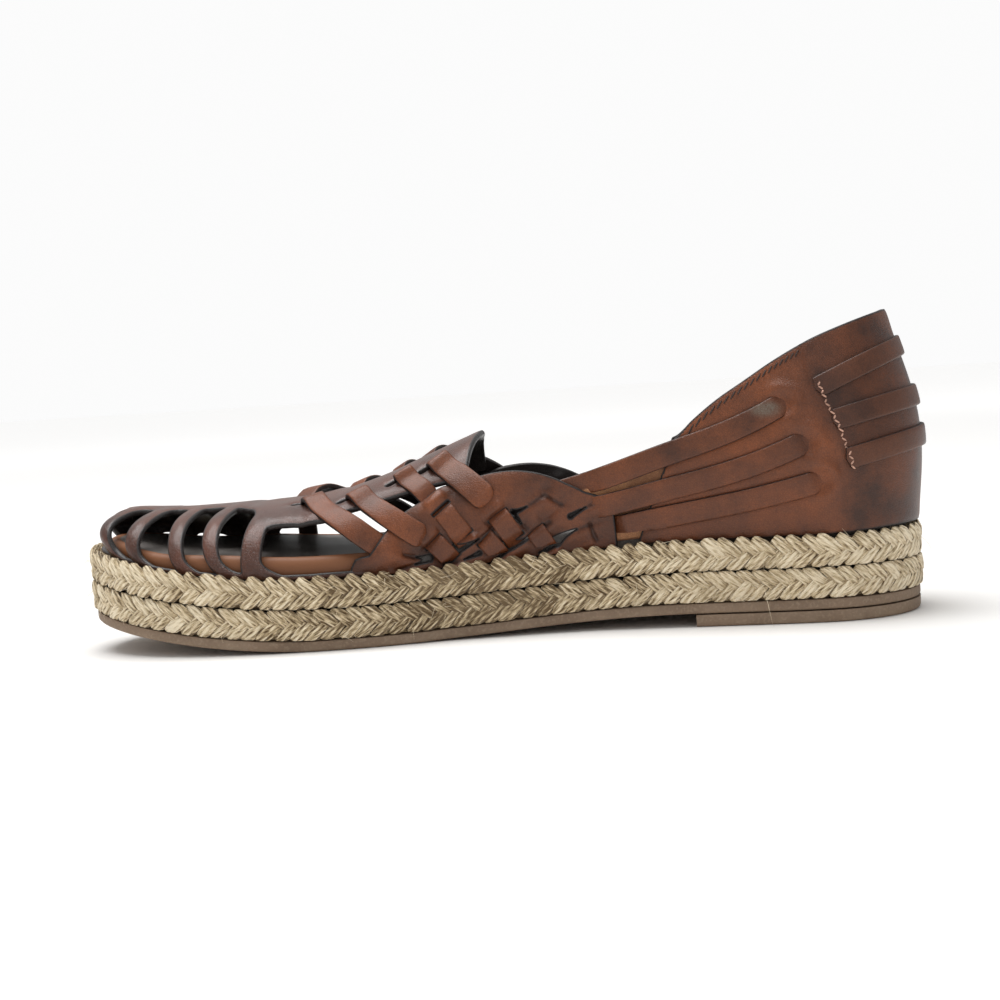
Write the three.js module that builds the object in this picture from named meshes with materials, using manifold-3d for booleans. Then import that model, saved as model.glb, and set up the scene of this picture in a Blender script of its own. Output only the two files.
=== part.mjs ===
// Espadrille with a woven leather upper on a jute and rubber sole, right shoe, standing empty.
// Toe towards +X, inner side of the foot towards +Y, floor at Z 0. Sizes in millimetres.
import * as THREE from "three";
import { mergeVertices } from "three/addons/utils/BufferGeometryUtils.js";
import Module from "manifold-3d";

// Sole sizes
const LENGTH = 260;
const HEEL_LIFT = 3.9;
const SHEET = 3.5;
const JUTE = 18.6;
const TOE_SPRING = 10.5;
const SPRING_POWER = 1.7;
const BALL_BACK = 165;
const BALL_FRONT = 183;
const BREAST = 70;
const HEEL_CAP = 32;
const TOE_CAP = 68;
const TOE_POWER = 2.1;
const GAP = 0.25;
const CLEAR = 0.5;
const SHEET_INSET = 0.8;
const SOLE_STEPS = 32;
const BEAD = 1.5;
const INSOLE = 7.4;
const INSOLE_TOE = 4.6;

// Upper sizes
const WALL = 1.8;
const RAISE = 1.2;
const FEATHER_HEEL = 2.3;
const FEATHER = 5;
const SWELL = 2.6;
const SWELL_TOP = 60;
const TOE_SWELL = 4;
const RIDGE_BACK = 45;
const RIDGE_FRONT = 246;
const SOFT_BACK = 12;
const SOFT_FRONT = 7;
const OUTER_DIP = 0.028;
const OUTER_QUARTER = 0.86;
const OUTER_STRIP_AHEAD = 9;
const OUTER_STRIP_UP = 0.16;
const SPINE_START = 0.6;
const QUARTER_WIDTH = 6.8;
const HEEL_STRAP_WIDTH = 6.2;
const HEEL_STRAP_THICK = 1.6;
const RIM_UP = 0.03;
const STRIP_LOWEST = 0.03;

// Plan of the sole: station from the heel, middle line, half width
const PLAN = [
  { x: 0, middle: 0, half: 31 },
  { x: 30, middle: 0, half: 31 },
  { x: 70, middle: -2, half: 30.5 },
  { x: 105, middle: -5, half: 31.5 },
  { x: 140, middle: -5, half: 36.8 },
  { x: 155, middle: -4, half: 40.4 },
  { x: 170, middle: -2.5, half: 43.2 },
  { x: 183, middle: -1.5, half: 44.6 },
  { x: 195, middle: -0.8, half: 45 },
  { x: 225, middle: 2, half: 45 },
  { x: 245, middle: 4.5, half: 45 },
  { x: 260, middle: 7, half: 45 },
];

// Ridge of the last: station, rise over the sole, power of the cross section
const RIDGE = [
  { x: 45, rise: 108, power: 2.2 },
  { x: 75, rise: 92, power: 2.2 },
  { x: 100, rise: 68, power: 2.2 },
  { x: 120, rise: 50, power: 2.2 },
  { x: 135, rise: 38.2, power: 2.2 },
  { x: 143, rise: 35.2, power: 2.2 },
  { x: 154, rise: 31.2, power: 2.3 },
  { x: 163, rise: 27.7, power: 2.4 },
  { x: 175, rise: 24, power: 2.5 },
  { x: 188, rise: 21.6, power: 2.5 },
  { x: 205, rise: 19.3, power: 2.5 },
  { x: 218, rise: 17.5, power: 2.5 },
  { x: 231, rise: 15.3, power: 2.4 },
  { x: 240, rise: 13.5, power: 2.3 },
  { x: 248, rise: 12.2, power: 2.2 },
];

// Spine over the instep: station, height of its edge as a share of the way up to the ridge
const SPINE = [
  { x: 134, up: 0.46 },
  { x: 150, up: 0.5 },
  { x: 173, up: 0.512 },
  { x: 182, up: 0.468 },
  { x: 196, up: 0.49 },
  { x: 206, up: 0.8 },
  { x: 218, up: 0.93 },
  { x: 231, up: 0.94 },
  { x: 245, up: 0.92 },
  { x: 260, up: 0.84 },
];

// The spine comes down further on the outer side of the toe, where the top of the foot slopes away
const SPINE_DROP = 0.72;
const SPINE_DROP_FROM = 190;
const SPINE_DROP_OVER = 28;
const SPINE_DROP_TIP = 1.2;

// Toe straps: station and height at the top, stations half way and at the foot, width, spread of the foot
const TOE_STRAPS = [
  { top: 256, up: 0.9, middle: 253.4, foot: 248, width: 4.6, spread: 4 },
  { top: 238, up: 0.97, middle: 242.4, foot: 236.5, width: 4.4, spread: 5 },
  { top: 226, up: 0.98, middle: 226.8, foot: 221.5, width: 4.4, spread: 6 },
  { top: 213, up: 0.97, middle: 215, foot: 207.5, width: 4.4, spread: 6 },
  { top: 199, up: 0.88, middle: 201.4, foot: 201, width: 5.8, spread: 11 },
];

// Height half way along a toe strap
const STRAP_HALF_UP = 0.28;

// Slanting strips over the sides: start, middle and end as station and height, width, level of both ends
const SLANT_STRIPS = [
  { x0: 187.5, up0: 0.81, x1: 174.5, up1: 0.42, x2: 160.5, up2: 0.14, width: 7.2, start: 1, end: -0.6 },
  { x0: 172, up0: 0.69, x1: 160.3, up1: 0.365, x2: 148.8, up2: 0.165, width: 7.2, start: 1, end: 1 },
  { x0: 157, up0: 0.69, x1: 151, up1: 0.515, x2: 146, up2: 0.39, width: 7, start: 1, end: -0.5 },
  { x0: 147, up0: 0.7, x1: 138.5, up1: 0.48, x2: 129.8, up2: 0.27, width: 8.4, start: 1, end: 1 },
  { x0: 144, up0: 0.33, x1: 140.5, up1: 0.22, x2: 137.2, up2: 0.125, width: 6.6, start: 1, end: 1 },
  { x0: 146, up0: 0.135, x1: 143.5, up1: 0.085, x2: 141, up2: 0.035, width: 6, start: 1, end: 1 },
  { x0: 126.8, up0: 0.185, x1: 124.7, up1: 0.13, x2: 122.7, up2: 0.08, width: 6.4, start: 1, end: 1 },
  { x0: 131.2, up0: 0.095, x1: 129, up1: 0.055, x2: 127, up2: 0.03, width: 6, start: 1, end: 1 },
  { x0: 116, up0: 0.07, x1: 114.3, up1: 0.05, x2: 112.7, up2: 0.03, width: 6, start: 1, end: 1 },
];

// Slits between the strips of the side panel: both ends as station and height, width
const SLITS = [
  { x0: 155.5, up0: 0.04, x1: 148, up1: 0.065, width: 1.6 },
  { x0: 141.5, up0: 0.1, x1: 130.5, up1: 0.135, width: 1.8 },
  { x0: 139.5, up0: 0.037, x1: 133, up1: 0.045, width: 1.3 },
  { x0: 126, up0: 0.072, x1: 113.5, up1: 0.097, width: 1.8 },
  { x0: 123, up0: 0.188, x1: 114, up1: 0.199, width: 1.4 },
  { x0: 110.5, up0: 0.052, x1: 102, up1: 0.062, width: 1.9 },
];

// Side panel that carries the weave: station at the sole, station and height at its top edge
const PANEL = [
  { low: 93, high: 93.5, up: 0.078 },
  { low: 97, high: 96.7, up: 0.125 },
  { low: 101.5, high: 101.3, up: 0.152 },
  { low: 111, high: 110.7, up: 0.242 },
  { low: 121.5, high: 121.2, up: 0.343 },
  { low: 133.5, high: 133.1, up: 0.44 },
  { low: 145, high: 143.3, up: 0.45 },
  { low: 153, high: 148.3, up: 0.41 },
  { low: 162, high: 153.4, up: 0.36 },
  { low: 171, high: 157, up: 0.335 },
];

// Counter round the heel: station at the sole, station and height at the top line
const COUNTER = [
  { low: 0, high: 0, up: 0.395 },
  { low: 16.2, high: 16.2, up: 0.37 },
  { low: 30.7, high: 30.7, up: 0.345 },
  { low: 42.5, high: 42.5, up: 0.315 },
  { low: 52.5, high: 52.2, up: 0.285 },
  { low: 62.5, high: 60.9, up: 0.258 },
  { low: 73, high: 68.3, up: 0.228 },
  { low: 86.6, high: 74, up: 0.2 },
];

// Stay between panel and counter: stations at the sole, flare to the top, heights, thickness, lap
const STAY = { back: 83, front: 96.5, flare: 10, low: 0.012, high: 0.165, thick: 0.5, lap: 0.2 };

// Quarter straps from the weave into the counter: start, middle and end as station and height
const QUARTER_STRAPS = [
  { x0: 106, up0: 0.18, x1: 73, up1: 0.176, x2: 40.5, up2: 0.231 },
  { x0: 107, up0: 0.11, x1: 71, up1: 0.106, x2: 35, up2: 0.158 },
  { x0: 94, up0: 0.047, x1: 63, up1: 0.058, x2: 31.5, up2: 0.088 },
];

// Straps round the back of the heel: station and height at the front end, height at the back
const HEEL_STRAPS = [
  { name: "heel_strap_top", front: 31, up: 0.247, back: 0.312 },
  { name: "heel_strap_middle", front: 27.5, up: 0.186, back: 0.212 },
  { name: "heel_strap_bottom", front: 24.5, up: 0.118, back: 0.141 },
];

const clamp = (t, low, high) => Math.min(Math.max(t, low), high);

const smooth = (t) => {
  const s = clamp(t, 0, 1);
  return s * s * (3 - 2 * s);
};

// Smooth curve through the rows of a table that never overshoots between two rows
const curve = (rows, across, column) => {
  const xs = rows.map((row) => row[across]);
  const ys = rows.map((row) => row[column]);
  const last = xs.length - 1;
  const run = xs.slice(1).map((x, i) => x - xs[i]);
  const rate = run.map((h, i) => (ys[i + 1] - ys[i]) / h);
  const slope = xs.map((x, i) => {
    if (i === 0) {
      return rate[0];
    }
    if (i === last) {
      return rate[last - 1];
    }
    if (rate[i - 1] * rate[i] <= 0) {
      return 0;
    }
    const before = 2 * run[i] + run[i - 1];
    const after = run[i] + 2 * run[i - 1];
    return (before + after) / (before / rate[i - 1] + after / rate[i]);
  });
  return (x) => {
    const q = clamp(x, xs[0], xs[last]);
    let i = 0;
    while (i < last - 1 && q > xs[i + 1]) {
      i += 1;
    }
    const t = (q - xs[i]) / run[i];
    const u = 1 - t;
    const lead = ys[i] * (1 + 2 * t) * u * u + ys[i + 1] * (3 - 2 * t) * t * t;
    return lead + run[i] * (slope[i] * t * u * u - slope[i + 1] * t * t * u);
  };
};

const middleAt = curve(PLAN, "x", "middle");
const halfAt = curve(PLAN, "x", "half");
const riseAt = curve(RIDGE, "x", "rise");
const powerAt = curve(RIDGE, "x", "power");
const spineAt = curve(SPINE, "x", "up");

// Way round the outline: 0 at the back of the heel, 1 at the tip of the toe
const stationAt = (p) => (LENGTH / 2) * (1 - Math.cos(Math.PI * p));
const wayAt = (x) => Math.acos(1 - (2 * clamp(x, 0, LENGTH)) / LENGTH) / Math.PI;

// Half width of the sole with round heel and toe ends
const widthAt = (x) => {
  const heel = clamp(1 - x / HEEL_CAP, 0, 1);
  const toe = clamp(1 - (LENGTH - x) / TOE_CAP, 0, 1);
  const round = Math.sqrt(1 - heel * heel);
  return halfAt(x) * round * Math.pow(1 - Math.pow(toe, TOE_POWER), 1 / TOE_POWER);
};

// Underside of the rubber sheet: heel height, arch, flat spot under the ball, toe spring
const sheetBottom = (x) => {
  const heel = HEEL_LIFT * smooth((BALL_BACK - x) / (BALL_BACK - BREAST));
  const toe = clamp((x - BALL_FRONT) / (LENGTH - BALL_FRONT), 0, 1);
  return heel + TOE_SPRING * Math.pow(toe, SPRING_POWER);
};
const juteBottom = (x) => sheetBottom(x) + SHEET;
const beadAt = (x) => BEAD * smooth((x - 6) / 30) * smooth((250 - x) / 24);
const platform = (x) => juteBottom(x) + JUTE - beadAt(x);

// Point of the sole's outline, moved inwards along the outline's own normal; past either end it runs on
// along the other side
const rimPoint = (p, side) => {
  const x = stationAt(p);
  const turn = p < 0 || p > 1 ? -side : side;
  return { x, y: middleAt(x) + turn * widthAt(x) };
};
const outlinePoint = (p, side, inset) => {
  const step = 1e-4;
  const at = rimPoint(p, side);
  const a = rimPoint(p - step, side);
  const b = rimPoint(p + step, side);
  const run = Math.hypot(b.x - a.x, b.y - a.y);
  return {
    x: at.x + (side * inset * (b.y - a.y)) / run,
    y: at.y - (side * inset * (b.x - a.x)) / run,
  };
};
const featherAt = (x) => FEATHER_HEEL + (FEATHER - FEATHER_HEEL) * smooth((x - 4) / 50);

// Station on the ridge that a section leans to: it stops short of the heel and of the toe
const ridgeStation = (x) => {
  const back = RIDGE_BACK + SOFT_BACK * Math.log1p(Math.exp((x - RIDGE_BACK) / SOFT_BACK));
  return RIDGE_FRONT - SOFT_FRONT * Math.log1p(Math.exp((RIDGE_FRONT - back) / SOFT_FRONT));
};

// Inner face of the upper: p runs from heel to toe, up from the sole to the ridge. Each section is a
// superellipse from the feather edge to the ridge, with a low swell of the wall.
const lastPoint = (way, height, sideIn) => {
  let p = way;
  let up = height;
  let side = sideIn;
  if (p < 0) {
    p = -p;
    side = -side;
  }
  if (p > 1) {
    p = 2 - p;
    side = -side;
  }
  if (up > 1) {
    up = 2 - up;
    side = -side;
  }
  const station = stationAt(p);
  const foot = outlinePoint(p, side, featherAt(station));
  const rx = ridgeStation(station);
  const ry = middleAt(rx);
  const base = platform(clamp(foot.x, 0, LENGTH)) + CLEAR;
  const top = platform(rx) + riseAt(rx);
  const power = 2 / powerAt(rx);
  const angle = (Math.PI / 2) * clamp(up, 0, 1);
  const lean = 1 - Math.pow(Math.max(Math.cos(angle), 1e-9), power);
  const lift = Math.pow(Math.sin(angle), power);
  const h = lift * (top - base);
  const share = clamp(h / SWELL_TOP, 0, 1);
  const flank = SWELL * 16 * share * share * (1 - share) * (1 - share) * (1 - lean);
  const swell = flank + TOE_SWELL * smooth((station - 228) / 30) * 6.75 * lift * lift * (1 - lift);
  const dx = foot.x - rx;
  const dy = foot.y - ry;
  const far = Math.max(Math.hypot(dx, dy), 1e-6);
  return new THREE.Vector3(
    foot.x - dx * lean + (swell * dx) / far,
    foot.y - dy * lean + (swell * dy) / far,
    base + h,
  );
};

// Both directions along the upper's face and its outward normal
const frameAt = (p, up, side) => {
  const step = 2e-3;
  const low = Math.max(up - step, 0);
  const along = lastPoint(p + step, up, side).sub(lastPoint(p - step, up, side));
  const rise = lastPoint(p, up + step, side).sub(lastPoint(p, low, side));
  along.divideScalar(2 * step);
  rise.divideScalar(up + step - low);
  const normal = new THREE.Vector3().crossVectors(rise, along).multiplyScalar(side).normalize();
  return { along, rise, normal };
};

const wallPoint = (p, up, side, out) =>
  lastPoint(p, up, side).addScaledVector(frameAt(p, up, side).normal, out);

const wasm = await Module();
wasm.setup();

// Closed solid from points and triangles, turned right way out
const solidOf = (points, triangles) => {
  const geometry = new THREE.BufferGeometry();
  geometry.setAttribute("position", new THREE.Float32BufferAttribute(points.flatMap((v) => v.toArray()), 3));
  geometry.setIndex(triangles);
  const merged = mergeVertices(geometry, 1e-3);
  const at = merged.getAttribute("position").array;
  const index = Array.from(merged.getIndex().array);
  const kept = [];
  let volume = 0;
  const a = new THREE.Vector3();
  const b = new THREE.Vector3();
  const c = new THREE.Vector3();
  for (let i = 0; i < index.length; i += 3) {
    const [u, v, w] = index.slice(i, i + 3);
    if (u !== v && v !== w && w !== u) {
      kept.push(u, v, w);
      a.fromArray(at, 3 * u);
      b.fromArray(at, 3 * v);
      c.fromArray(at, 3 * w);
      volume += a.dot(b.cross(c));
    }
  }
  if (volume < 0) {
    kept.reverse();
  }
  const triVerts = new Uint32Array(kept);
  return new wasm.Manifold(new wasm.Mesh({ numProp: 3, vertProperties: new Float32Array(at), triVerts }));
};

// Wall piece over a grid on the upper's face, between an inner and an outer offset. The place function gives
// p, height, side and both offsets at a share of the way along and across. A piece that ends on the tip of
// the toe folds shut there and needs no wall at that end.
const wallPiece = (along, across, place, foldedEnd = false) => {
  const points = [];
  const triangles = [];
  const width = across + 1;
  const layer = (along + 1) * width;
  for (const face of ["inner", "outer"]) {
    for (let i = 0; i <= along; i += 1) {
      for (let j = 0; j <= across; j += 1) {
        const at = place(i / along, j / across);
        points.push(wallPoint(at.p, at.up, at.side, at[face]));
      }
    }
  }
  const quad = (a, b, c, d) => triangles.push(a, b, c, a, c, d);
  for (let i = 0; i < along; i += 1) {
    for (let j = 0; j < across; j += 1) {
      const a = i * width + j;
      quad(a, a + 1, a + width + 1, a + width);
      quad(layer + a, layer + a + width, layer + a + width + 1, layer + a + 1);
    }
    const left = i * width;
    const right = left + across;
    quad(left, left + width, layer + left + width, layer + left);
    quad(right, layer + right, layer + right + width, right + width);
  }
  const ends = foldedEnd ? [0] : [0, along];
  for (const i of ends) {
    for (let j = 0; j < across; j += 1) {
      const a = i * width + j;
      if (i === 0) {
        quad(a, layer + a, layer + a + 1, a + 1);
      } else {
        quad(a, a + 1, layer + a + 1, layer + a);
      }
    }
  }
  return solidOf(points, triangles);
};

// Strap along a curve through three places, its half widths to the heel and to the toe side and its level
// given as functions of the way along it
const strap = (side, path, along, across, backHalf, frontHalf, level, lowest = 0, thick = WALL) => {
  const through = (a, b, c, t) => a + (4 * b - 3 * a - c) * t + (2 * a + 2 * c - 4 * b) * t * t;
  const centre = (t) => ({
    p: through(path[0].p, path[1].p, path[2].p, t),
    up: through(path[0].up, path[1].up, path[2].up, t),
  });
  return wallPiece(along, across, (t, s) => {
    const at = centre(t);
    const { along: da, rise: dr, normal } = frameAt(at.p, at.up, side);
    const step = 1e-3;
    const ahead = centre(t + step);
    const behind = centre(t - step);
    const forward = da.clone().multiplyScalar(ahead.p - behind.p);
    forward.addScaledVector(dr, ahead.up - behind.up);
    const cross = new THREE.Vector3().crossVectors(forward, normal).normalize().multiplyScalar(side);
    const offset = -backHalf(t) + (backHalf(t) + frontHalf(t)) * s;
    const aa = da.dot(da);
    const ar = da.dot(dr);
    const rr = dr.dot(dr);
    const ca = cross.dot(da);
    const cr = cross.dot(dr);
    const det = aa * rr - ar * ar;
    const p = at.p + (offset * (ca * rr - cr * ar)) / det;
    const up = at.up + (offset * (cr * aa - ca * ar)) / det;
    return { p, up: Math.max(up, lowest), side, inner: level(t) - thick, outer: level(t) };
  });
};

// Joins the pieces of one part into a single solid
const join = (pieces) => pieces.reduce((whole, piece) => whole.add(piece));

const place = (x, up) => ({ p: wayAt(x), up });

// Spine over the instep down to the toe, cut across at the throat
const spine = () => {
  const back = wayAt(SPINE[0].x);
  return wallPiece(22, 6, (t, s) => {
    const p = back + (1 - back) * t;
    const x = stationAt(p);
    const edge = spineAt(x);
    const drop = SPINE_DROP * smooth((x - SPINE_DROP_FROM) / SPINE_DROP_OVER);
    const outerEdge = edge - drop * smooth((LENGTH - x) / SPINE_DROP_TIP);
    return { p, up: edge + (2 - edge - outerEdge) * s, side: 1, inner: -0.2, outer: WALL + 0.4 };
  }, true);
};

// Narrow foot of the wall round the toe, where the straps are lasted under
const toeRim = () => {
  const back = wayAt(158);
  return wallPiece(30, 1, (t, s) => {
    const p = back + (2 - 2 * back) * t;
    return { p, up: 0.012 + RIM_UP * s, side: 1, inner: 0.5, outer: 1.5 };
  });
};

const toeStrap = (row, side) => {
  const path = [place(row.top, row.up), place(row.middle, STRAP_HALF_UP), place(row.foot, 0)];
  const half = row.width / 2;
  const crown = (t) => 3 * Math.pow(clamp(1 - t / 0.3, 0, 1), 2);
  const foot = (t) => row.spread * Math.pow(clamp((t - 0.66) / 0.34, 0, 1), 2);
  const back = (t) => half + crown(t) + foot(t);
  return strap(side, path, 7, 1, back, (t) => half + crown(t), () => WALL + 0.2);
};

const roundEnd = (half, t, share) => {
  const into = clamp((t - 1 + share) / share, 0, 0.9);
  return half * Math.sqrt(1 - into * into);
};

// Slanting strip; on the outer side those from the spine start further forward and nearer to the ridge
const slantStrip = (row, side) => {
  const outer = side < 0 && row.up0 > SPINE_START ? 1 : 0;
  const start = place(row.x0 + OUTER_STRIP_AHEAD * outer, row.up0 + OUTER_STRIP_UP * outer);
  const path = [start, place(row.x1, row.up1), place(row.x2, row.up2)];
  const half = (t) => roundEnd(row.width / 2, t, 0.12);
  const level = (t) => WALL + RAISE * (row.start + (row.end - row.start) * smooth((t - 0.55) / 0.45));
  const steps = row.up0 - row.up2 > 0.2 ? 7 : 3;
  return strap(side, path, steps, 1, half, half, level, STRIP_LOWEST);
};

// Wall patch between slanted columns of a table, on one side of the shoe; the columns are told apart by
// their station at the sole
const patchPlace = (rows, dip) => {
  const high = curve(rows, "low", "high");
  const top = curve(rows, "low", "up");
  const first = rows[0].low;
  const span = rows[rows.length - 1].low - first;
  return (low, s, side) => {
    const crest = top(low) - (side < 0 ? dip : 0) * Math.sin((Math.PI * (low - first)) / span);
    const x = low + (high(low) - low) * s;
    return { p: wayAt(x), up: crest * s, side, inner: 0, outer: WALL };
  };
};

const slit = (row, side) => {
  const middle = { p: (wayAt(row.x0) + wayAt(row.x1)) / 2, up: (row.up0 + row.up1) / 2 };
  const path = [place(row.x0, row.up0), middle, place(row.x1, row.up1)];
  const half = (t) => (row.width / 2) * (0.35 + 0.65 * Math.sin(Math.PI * t));
  return strap(side, path, 4, 1, half, half, () => WALL + 0.6, 0.01, WALL + 1.2);
};

const sidePanel = (side) => {
  const at = patchPlace(PANEL, OUTER_DIP / 2);
  const first = PANEL[0].low;
  const span = PANEL[PANEL.length - 1].low - first;
  const panel = wallPiece(13, 4, (t, s) => at(first + span * t, s, side));
  return SLITS.reduce((whole, row) => whole.subtract(slit(row, side)), panel);
};

const counter = () => {
  const at = patchPlace(COUNTER, OUTER_DIP);
  const end = wayAt(COUNTER[COUNTER.length - 1].low);
  return wallPiece(26, 5, (t, s) => {
    const turn = 2 * t - 1;
    return at(stationAt(end * Math.abs(turn)), s, turn < 0 ? -1 : 1);
  });
};

// Quarter strap, lower on the outer side, where the shoe opens under the ankle
const quarterStrap = (row, side) => {
  const share = side < 0 ? OUTER_QUARTER : 1;
  const places = [[row.x0, row.up0], [row.x1, row.up1], [row.x2, row.up2]];
  const path = places.map(([x, up]) => place(x, up * share));
  const half = (t) => roundEnd(QUARTER_WIDTH / 2, t, 0.05);
  return strap(side, path, 9, 1, half, half, () => WALL + RAISE);
};

// Stay behind the quarter straps, which closes the wall between side panel and counter
const stay = (side) => wallPiece(3, 4, (t, s) => {
  const back = STAY.back - STAY.flare * s;
  const front = STAY.front + STAY.flare * s;
  const up = STAY.low + (STAY.high - STAY.low) * s;
  return { p: wayAt(back + (front - back) * t), up, side, inner: -STAY.thick, outer: STAY.lap };
});

// Strap laid round the back of the counter, a hair off its face
const heelStrap = (row) => {
  const front = wayAt(row.front);
  const low = WALL + GAP;
  return wallPiece(18, 1, (t, s) => {
    const turn = 2 * t - 1;
    const p = front * turn;
    const middle = row.back + (row.up - row.back) * turn * turn;
    const tall = frameAt(p, middle, 1).rise.length();
    const up = middle + (HEEL_STRAP_WIDTH * (s - 0.5)) / tall;
    return { p, up, side: 1, inner: low, outer: low + HEEL_STRAP_THICK };
  });
};

// Stack of rings that follow the sole's outline, each with its inset and its height, capped at both ends.
// A stack that stops before the toe ends in a straight line across.
const soleStack = (steps, endStation, rings) => {
  const end = wayAt(endStation);
  const whole = endStation >= LENGTH;
  const points = [];
  const triangles = [];
  const loop = whole ? 2 * steps : 2 * steps + 1;
  const seat = (i, side) => {
    if (side < 0) {
      return i;
    }
    return i === 0 ? 0 : loop - i;
  };
  for (const ring of rings) {
    const spots = new Array(loop);
    for (let i = 0; i <= steps; i += 1) {
      for (const side of [-1, 1]) {
        const p = (end * i) / steps;
        const at = outlinePoint(p, side, ring.inset(stationAt(p)));
        const x = whole ? at.x : Math.min(at.x, endStation);
        spots[seat(i, side) % loop] = new THREE.Vector3(x, at.y, ring.z(clamp(at.x, 0, LENGTH)));
      }
    }
    points.push(...spots);
  }
  for (let k = 0; k + 1 < rings.length; k += 1) {
    for (let i = 0; i < loop; i += 1) {
      const a = k * loop + i;
      const b = k * loop + ((i + 1) % loop);
      triangles.push(a, b, b + loop, a, b + loop, a + loop);
    }
  }
  const roof = (rings.length - 1) * loop;
  for (let i = 0; i < steps; i += 1) {
    const a = seat(i, -1);
    const b = seat(i + 1, -1);
    const c = seat(i + 1, 1) % loop;
    const d = seat(i, 1) % loop;
    triangles.push(roof + a, roof + b, roof + c, roof + a, roof + c, roof + d);
    triangles.push(a, c, b, a, d, c);
  }
  return solidOf(points, triangles);
};

const ring = (inset, z) => ({ inset: typeof inset === "function" ? inset : () => inset, z });

const outsole = () => soleStack(SOLE_STEPS, LENGTH, [
  ring(SHEET_INSET + 0.7, sheetBottom),
  ring(SHEET_INSET, (x) => sheetBottom(x) + 0.6),
  ring(SHEET_INSET, (x) => juteBottom(x) - GAP),
]);

const heelLift = () => soleStack(14, BREAST, [
  ring(SHEET_INSET + 0.8, () => 0),
  ring(SHEET_INSET + 0.3, () => 0.6),
  ring(SHEET_INSET, () => HEEL_LIFT - GAP),
]);

const juteCourse = (low, extra) => soleStack(SOLE_STEPS, LENGTH, [
  ring(1.1, low),
  ring(0.3, (x) => low(x) + 0.16 * JUTE / 2),
  ring(0, (x) => low(x) + 0.45 * JUTE / 2),
  ring(0.3, (x) => low(x) + 0.8 * JUTE / 2),
  ...extra,
]);

const juteLower = () => juteCourse(juteBottom, [ring(1.1, (x) => juteBottom(x) + JUTE / 2 - GAP)]);

const juteUpper = () => juteCourse((x) => juteBottom(x) + JUTE / 2, [
  ring((x) => Math.max(featherAt(x) - 3.4, 0.8), (x) => juteBottom(x) + JUTE),
  ring((x) => Math.max(featherAt(x) - 2.8, 1), platform),
]);

// Padded insole, thinner under the toes
const insoleAt = (x) => INSOLE + (INSOLE_TOE - INSOLE) * smooth((x - 205) / 40);
const insole = () => soleStack(SOLE_STEPS, LENGTH, [
  ring((x) => featherAt(x) + 1, (x) => platform(x) + GAP),
  ring((x) => featherAt(x) + 1, (x) => platform(x) + 0.5 * insoleAt(x)),
  ring((x) => featherAt(x) + 1.7, (x) => platform(x) + 0.85 * insoleAt(x)),
  ring((x) => featherAt(x) + 3.4, (x) => platform(x) + insoleAt(x)),
]);

const upper = () => {
  const pieces = [spine(), toeRim(), counter()];
  for (const side of [1, -1]) {
    pieces.push(sidePanel(side), stay(side));
    pieces.push(...TOE_STRAPS.map((row) => toeStrap(row, side)));
    pieces.push(...SLANT_STRIPS.map((row) => slantStrip(row, side)));
    pieces.push(...QUARTER_STRAPS.map((row) => quarterStrap(row, side)));
  }
  return join(pieces);
};

const LEATHER = { color: 0x7a4a33, roughness: 0.45, metalness: 0 };
const HEEL_LEATHER = { color: 0x6a4231, roughness: 0.5, metalness: 0 };
const FOOTBED = { color: 0x8a5a3a, roughness: 0.45, metalness: 0 };
const STRAW = { color: 0xc9b58d, roughness: 0.95, metalness: 0 };
const RUBBER = { color: 0x75685c, roughness: 0.7, metalness: 0 };

const group = new THREE.Group();
group.name = "espadrille";

const addMesh = (name, solid, finish) => {
  const made = solid.getMesh();
  const geometry = new THREE.BufferGeometry();
  geometry.setAttribute("position", new THREE.Float32BufferAttribute(Array.from(made.vertProperties), 3));
  geometry.setIndex(Array.from(made.triVerts));
  geometry.computeVertexNormals();
  const mesh = new THREE.Mesh(geometry, new THREE.MeshStandardMaterial(finish));
  mesh.name = name;
  group.add(mesh);
};

addMesh("outsole", outsole(), RUBBER);
addMesh("heel_lift", heelLift(), RUBBER);
addMesh("jute_midsole_lower", juteLower(), STRAW);
addMesh("jute_midsole_upper", juteUpper(), STRAW);
addMesh("insole", insole(), FOOTBED);
addMesh("upper", upper(), LEATHER);
for (const row of HEEL_STRAPS) {
  addMesh(row.name, heelStrap(row), HEEL_LEATHER);
}

// Origin under the middle of the whole shoe
const box = new THREE.Box3().setFromObject(group);
const centre = box.getCenter(new THREE.Vector3());
for (const mesh of group.children) {
  mesh.geometry.translate(-centre.x, -centre.y, -box.min.z);
}

export default group;
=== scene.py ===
"""Looks of a woven leather espadrille, right shoe, on its jute and rubber sole.

Lengths are millimetres on the shoe's last: x from the back of the heel to the toe, +y to the inner side
of the foot, z up from the floor. Meshes are written in metres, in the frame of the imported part.
"""

import logging
import math
from dataclasses import dataclass, field
from enum import Enum
from functools import partial
from typing import Callable, NamedTuple

import bpy
import numpy as np
from bpy.types import Material, Node, NodeSocket as Socket, NodeTree
from mathutils import Matrix, Vector


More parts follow.
